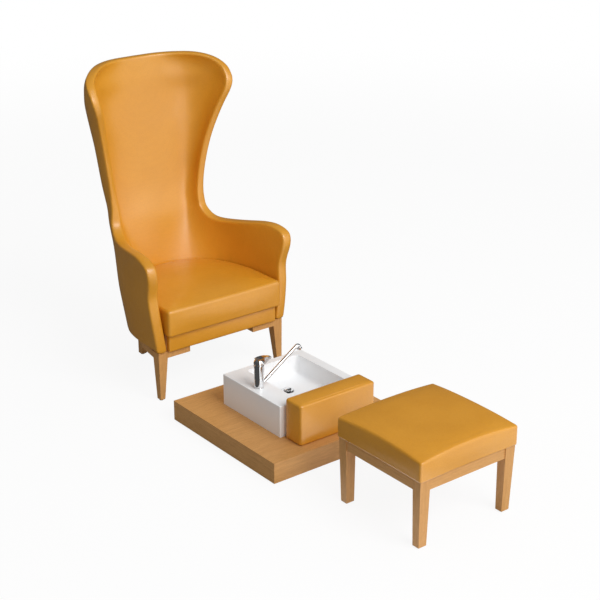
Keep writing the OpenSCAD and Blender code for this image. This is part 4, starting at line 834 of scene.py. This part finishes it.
def makeSeat():
    s = seat
    top = s["low"] + s["edgeHeight"] - s["within"]
    tall = top - s["low"]
    middle = np.array([0, shell["depth"] * s["middle"]])
    rings = []
    for h, inset in wallOf(tall, s["lowRoll"], s["topRoll"], 18):
        puff = math.sin(math.pi * min(h / tall, 1))**s["puffed"]
        rings.append(seatRing(s["low"] + h, inset, puff * s["bulge"]))
    edge = rings[-1]
    for share in topShares:
        ring = edge.copy()
        ring[:, :2] = middle + (ring[:, :2] - middle) * share
        ring[:, 2] = top + s["crown"] * (1 - share**s["domed"])
        rings.append(ring)
    makePad("seatPad", "chair", "seat_cushion", s, rings, (0, shell["front"]),
            (s["low"], top + s["crown"]), middle)


makeSeat()

frontCover = {"bulge": 0.003, "round": 0.006, "margin": 0.01, "cuts": {0: 24, 2: 6}}


def makeFrontCover():
    look = frontCover
    low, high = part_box("seat_front_cover")
    bm = bmesh.new()
    bmesh.ops.create_cube(bm, size=1)
    size, centre = high - low, (high + low) / 2
    for v in bm.verts:
        v.co = centre + Vector((v.co.x * size.x, v.co.y * size.y, v.co.z * size.z))
    bmesh.ops.bevel(bm, geom=bm.edges[:], offset=look["round"], segments=4, profile=0.5, affect="EDGES")
    for axis, cuts in look["cuts"].items():
        lo, hi = low[axis] + look["margin"], high[axis] - look["margin"]
        for i in range(cuts + 1):
            spot, normal = Vector((0, 0, 0)), Vector((0, 0, 0))
            spot[axis] = lo + (hi - lo) * i / cuts
            normal[axis] = 1
            bmesh.ops.bisect_plane(bm, geom=bm.verts[:] + bm.edges[:] + bm.faces[:],
                                   plane_co=spot, plane_no=normal)
    for v in bm.verts:
        if v.co.y < centre.y:
            across = 1 - abs((v.co.x - centre.x) / (size.x / 2))**4
            up = 1 - abs((v.co.z - centre.z) / (size.z / 2))**3
            v.co.y -= look["bulge"] * max(across, 0) * max(up, 0)
    mesh = bpy.data.meshes.new("seatFrontCover")
    bm.to_mesh(mesh)
    bm.free()
    piece = bpy.data.objects.new("seatFrontCover", mesh)
    scene.collection.objects.link(piece)
    mesh.materials.append(finishes["leather"])
    turnOutward(piece)
    settle(piece, "chair", "leather", "seat_front_cover")
    print("front cover:", len(mesh.polygons), "faces")


makeFrontCover()

under = {
    "railIn": 0.058, "lap": 0.007,  # the cloth laps the seat frame's lower edge by this much
    "frontRail": 0.008, "thick": 0.0006, "sag": 0.004, "below": 0.0004,
    "ripple": 0.0006, "ripples": 9, "rimPoints": 160, "rimRings": 18, "innermost": 0.08,
    "staple": 0.011, "wire": 0.0011, "pitch": 0.034, "fromEdge": 0.0035, "wander": 0.12,
    "stapleLinePoints": 400,
    "strapWidth": 0.060, "strapThick": 0.0009, "strapCount": 5, "frameHeight": 0.082,
    "strapLift": 0.00055, "strapSteps": 90, "strapPitch": 1.5, "strapOver": 0.75, "clear": 0.001,
}


def frameOutline(depth, front):
    # the shell's inner line at its foot, kept a depth inside it and behind a front line
    z, steps = shell["foot"], 40
    u = np.concatenate([np.linspace(0.1, 1.0, steps), np.linspace(1.0, 2.0, steps)[1:]])
    side = inside(np.full_like(u, z), u, shell["wall"] + depth)
    side = side[side[:, 1] > front]
    start = np.array([[side[0][0], front]])
    half = np.concatenate([start, side])
    half[-1][0] = 0
    return np.concatenate([half, half[-2::-1] * [-1, 1]]) + [0, shell["front"]]


def evenly(line, count):
    ring = np.vstack([line, line[:1]])
    far = np.concatenate([[0], np.cumsum(np.linalg.norm(np.diff(ring, axis=0), axis=1))])
    at = np.linspace(0, far[-1], count, endpoint=False)
    return np.column_stack([np.interp(at, far, ring[:, k]) for k in range(2)])


def makeDustCloth():
    look = under
    inset = look["railIn"] - look["lap"]
    n = look["rimPoints"]
    rim = evenly(frameOutline(inset, look["frontRail"] + inset), n)
    middle = (rim.min(0) + rim.max(0)) / 2
    shares = np.linspace(1, look["innermost"], look["rimRings"])
    points = []
    for share in shares:
        plan = middle + (rim - middle) * share
        ripple = look["ripple"] * np.sin(np.arange(n) * 2 * math.pi * look["ripples"] / n) * share**6
        low = shell["foot"] - look["below"] - look["sag"] * (1 - share**2) + ripple * (share < 1)
        points += [(*p, z) for p, z in zip(plan, np.broadcast_to(low, n))]
    faces = [(k * n + i, k * n + (i + 1) % n, (k + 1) * n + (i + 1) % n, (k + 1) * n + i)
             for k in range(len(shares) - 1) for i in range(n)]
    points.append((*middle, shell["foot"] - look["sag"]))
    last = (len(shares) - 1) * n
    faces += [(last + i, last + (i + 1) % n, len(points) - 1) for i in range(n)]
    piece = addPiece("dustCloth", points, faces, "black_cloth")
    if piece.data.polygons[0].normal.z > 0:
        piece.data.flip_normals()
    thick = piece.modifiers.new("thick", "SOLIDIFY")
    thick.thickness = look["thick"]
    thick.offset = 0
    plainMesh(piece)
    settle(piece, "chair", "black_cloth", "dust_cover")
    makeStaples(rim, middle)
    print("dust cloth:", len(piece.data.polygons), "faces")


def stapleTree():
    # a short wire at even steps along the path, laid across it
    tree = bpy.data.node_groups.new("stapleRow", "GeometryNodeTree")
    sockets = {"Geometry": "Geometry", "Pitch": "Float", "Length": "Float", "Wire": "Float",
               "Wander": "Float", "Finish": "Material"}
    for name, kind in sockets.items():
        tree.interface.new_socket(name, in_out="INPUT", socket_type="NodeSocket" + kind)
    tree.interface.new_socket("Geometry", in_out="OUTPUT", socket_type="NodeSocketGeometry")

    def add(kind, settings=None, **links):
        made = tree.nodes.new(kind)
        for key, value in (settings or {}).items():
            setattr(made, key, value)
        for key, value in links.items():
            socket = made.inputs[key.replace("_", " ")]
            if isinstance(value, bpy.types.NodeSocket):
                tree.links.new(value, socket)
            else:
                socket.default_value = value
        return made

    def times(socket, factor):
        made = add("ShaderNodeMath", {"operation": "MULTIPLY"})
        tree.links.new(socket, made.inputs[0])
        made.inputs[1].default_value = factor
        return made.outputs[0]

    given = add("NodeGroupInput")
    line = add("GeometryNodeMeshToCurve", Mesh=given.outputs["Geometry"])
    points = add("GeometryNodeCurveToPoints", {"mode": "LENGTH"}, Curve=line.outputs["Curve"],
                 Length=given.outputs["Pitch"])
    half = times(given.outputs["Length"], 0.5)
    start = add("ShaderNodeCombineXYZ", X=times(half, -1))
    end = add("ShaderNodeCombineXYZ", X=half)
    wire = add("GeometryNodeCurvePrimitiveLine", Start=start.outputs[0], End=end.outputs[0])
    section = add("GeometryNodeCurvePrimitiveCircle", Resolution=8)
    tree.links.new(given.outputs["Wire"], section.inputs["Radius"])
    body = add("GeometryNodeCurveToMesh", Curve=wire.outputs["Curve"],
               Profile_Curve=section.outputs["Curve"], Fill_Caps=True)
    turn = add("FunctionNodeRandomValue", {"data_type": "FLOAT"}, Seed=7)
    least, most, value = turn.inputs[2], turn.inputs[3], turn.outputs[1]
    tree.links.new(given.outputs["Wander"], most)
    tree.links.new(times(given.outputs["Wander"], -1), least)
    twist = add("ShaderNodeCombineXYZ", Z=value)
    placed = add("GeometryNodeInstanceOnPoints", Points=points.outputs["Points"],
                 Instance=body.outputs["Mesh"], Rotation=points.outputs["Rotation"])
    turned = add("GeometryNodeRotateInstances", Instances=placed.outputs["Instances"],
                 Rotation=twist.outputs[0])
    real = add("GeometryNodeRealizeInstances", Geometry=turned.outputs["Instances"])
    dressed = add("GeometryNodeSetMaterial", Geometry=real.outputs["Geometry"],
                  Material=given.outputs["Finish"])
    result = add("NodeGroupOutput")
    tree.links.new(dressed.outputs["Geometry"], result.inputs["Geometry"])
    return tree


def setInputs(modifier, values):
    for item in modifier.node_group.interface.items_tree:
        if item.item_type == "SOCKET" and item.in_out == "INPUT" and item.name in values:
            modifier[item.identifier] = values[item.name]


def makeStaples(rim, middle):
    look = under
    inward = unit(middle - rim)
    line = evenly(rim + inward * look["fromEdge"], look["stapleLinePoints"])
    z = shell["foot"] - look["thick"] - look["wire"] * 0.4
    points = [(*p, z) for p in line]
    mesh = bpy.data.meshes.new("stapleLine")
    mesh.from_pydata(points, [(i, (i + 1) % len(points)) for i in range(len(points))], [])
    piece = bpy.data.objects.new("dustStaples", mesh)
    scene.collection.objects.link(piece)
    row = piece.modifiers.new("row", "NODES")
    row.node_group = stapleTree()
    setInputs(row, {"Pitch": look["pitch"], "Length": look["staple"], "Wire": look["wire"] / 2,
                    "Wander": look["wander"], "Finish": finishes["zinc_steel"]})
    plainMesh(piece)
    settle(piece, "chair", "zinc_steel")
    print("staples:", len(piece.data.polygons), "faces")
    return piece


def makeStraps():
    # flat straps that pass over and under each other on the seat frame
    look = under
    wide, steps = look["strapWidth"], look["strapSteps"]
    z = shell["foot"] + look["frameHeight"] + look["clear"]
    reach = shell["halfWidth"] - shell["wall"] - look["railIn"]
    pitch = 2 * reach / (look["strapCount"] + 1)
    columns = [-reach + i * pitch for i in range(1, look["strapCount"] + 1)]
    rows = [shell["front"] + i * wide * look["strapPitch"] + wide for i in range(1, look["strapCount"])]
    ring = frameOutline(look["railIn"] / 3, look["frontRail"] + look["clear"])
    points, faces = [], []

    def span(across, at):
        # the two places where a straight line meets the ring
        hits = []
        for a, b in zip(ring, np.roll(ring, -1, 0)):
            if (a[across] - at) * (b[across] - at) < 0:
                t = (at - a[across]) / (b[across] - a[across])
                hits.append(a[1 - across] + t * (b[1 - across] - a[1 - across]))
        return min(hits), max(hits)

    def strap(across, at, crossings, first):
        half, t = wide / 2, look["strapThick"] / 2
        lows = [span(across, at + k)[0] for k in (-half, 0, half)]
        highs = [span(across, at + k)[1] for k in (-half, 0, half)]
        start, end = max(lows), min(highs)
        base = len(points)
        for i in range(steps + 1):
            far = start + (end - start) * i / steps
            lift = 0
            for k, c in enumerate(crossings):
                near = max(0, 1 - abs(far - c) / (wide * look["strapOver"]))
                lift += (1 if (k + first) % 2 else -1) * look["strapLift"] * (3 * near**2 - 2 * near**3)
            for side, level in ((-half, -t), (half, -t), (half, t), (-half, t)):
                spot = [0, 0, z + lift + level]
                spot[across] = at + side
                spot[1 - across] = far
                points.append(tuple(spot))
        for i in range(steps):
            for k in range(4):
                a, b = base + i * 4 + k, base + i * 4 + (k + 1) % 4
                faces.append((a, b, b + 4, a + 4))
        faces.append(tuple(base + k for k in range(4)))
        faces.append(tuple(base + steps * 4 + k for k in (3, 2, 1, 0)))

    for i, x in enumerate(columns):
        strap(0, x, rows, i)
    for j, y in enumerate(rows):
        strap(1, y, columns, j + 1)
    piece = addPiece("seatStraps", points, faces, "webbing")
    turnOutward(piece)
    piece.data.shade_flat()
    settle(piece, "chair", "webbing", "seat_webbing")
    print("straps:", len(columns) + len(rows), "straps,", len(faces), "faces")


makeDustCloth()
makeStraps()

studio = {
    "floor": 14.0,
    "floorSeen": (0.97, 0.97, 0.97), "floorWhite": 0.90,
    "floorBounce": (0.46, 0.46, 0.46),
    "floorFade": (4.0, 8.5),        # metres from the middle over which the floor turns plain white
    "air": 0.45, "airLean": 0.24,   # the world's soft light, and how much more of it comes from one side
    "airFrom": (0.80, -0.60, 0.0),
    "panels": [                     # tall white panels that shiny pieces see: direction, edge, full, level
        ((-0.17, -0.985, 0), 0.95, 0.99, 2.2),
        ((0.57, -0.82, 0), 0.86, 0.96, 1.35)],
    "roomCentre": (0, 0.3, 0),
    "mirrorDim": 0.07, "skySeen": 0.12, "skyFrom": (0.35, 0.75),
    "lamp": 640, "lampSize": 6.5, "lampFar": 10.0,
    "lampFrom": (0.07, -0.756, 0.65), "lampAim": (0, 0, 0.5),
}


def raysOf(w):
    path = w.tree.nodes.new("ShaderNodeLightPath")
    rays = [Wire(w.tree, path.outputs[n]) for n in ("Is Camera Ray", "Is Glossy Ray", "Is Transmission Ray")]
    return rays[0], w.math("MINIMUM", rays[1] + rays[2], 1.0)


def roomSeen(w, direction):
    # brightness of the room that shiny pieces see, by the side it lies on
    level = w.node("VectorMath", {"operation": "NORMALIZE"}, {0: direction.stretched((1, 1, 0))})
    bright = 0
    for side, edge, full, power in studio["panels"]:
        bright = w.math("MAXIMUM", level.towards(side).between(edge, full) * power, bright)
    return studio["mirrorDim"] + (1 - studio["mirrorDim"]) * bright


def makeStudio():
    look = studio
    scene.world = bpy.data.worlds.new("studio")
    w = emptied(scene.world)
    seen, mirrored = raysOf(w)
    facing = w.node("TexCoord", out="Generated")
    height = w.node("SeparateXYZ", None, {0: facing}, out=2)
    overhead = height.between(*look["skyFrom"])
    inMirror = overhead * look["skySeen"] + (1 - overhead) * roomSeen(w, facing)
    air = look["air"] + look["airLean"] * facing.towards(look["airFrom"])
    strength = seen + (1 - seen) * (mirrored * inMirror + (1 - mirrored) * air)
    endShader(w, "ShaderNodeOutputWorld", w.node("Background", None, {"Color": white, "Strength": strength}))
    size = look["floor"]
    floor = addPiece("floor", [(-size, -size, 0), (size, -size, 0), (size, size, 0), (-size, size, 0)],
                     [(0, 1, 2, 3)], "leather")
    material = bpy.data.materials.new("paleFloor")
    w = emptied(material)
    seen, mirrored = raysOf(w)
    back = tuple(-c for c in look["roomCentre"])
    room = roomSeen(w, w.place().shifted(back))
    matt = w.node("BsdfDiffuse", None, {"Color": seen.tint(look["floorBounce"], look["floorSeen"])})
    pale = w.node("Emission", None, {"Color": white, "Strength": 1.0})
    far = w.node("VectorMath", {"operation": "LENGTH"}, {0: w.place()}, out=1)
    fade = far.between(*look["floorFade"])
    share = seen * (look["floorWhite"] + (1 - look["floorWhite"]) * fade)
    plain = w.node("MixShader", None, {0: share, 1: matt, 2: pale})
    glow = w.node("Emission", None, {"Color": white, "Strength": room})
    endShader(w, "ShaderNodeOutputMaterial", w.node("MixShader", None, {0: mirrored, 1: plain, 2: glow}))
    floor.data.materials[0] = material
    lamp = bpy.data.lights.new("softBox", "AREA")
    lamp.shape = "DISK"
    lamp.size = look["lampSize"]
    lamp.energy = look["lamp"]
    place = bpy.data.objects.new("softBox", lamp)
    side = Vector(look["lampFrom"])
    place.location = Vector(look["lampAim"]) + side * look["lampFar"]
    place.rotation_euler = (-side).to_track_quat("-Z", "Y").to_euler()
    place.visible_camera = False
    scene.collection.objects.link(place)
    print("studio ready")


makeStudio()

bpy.context.view_layer.update()
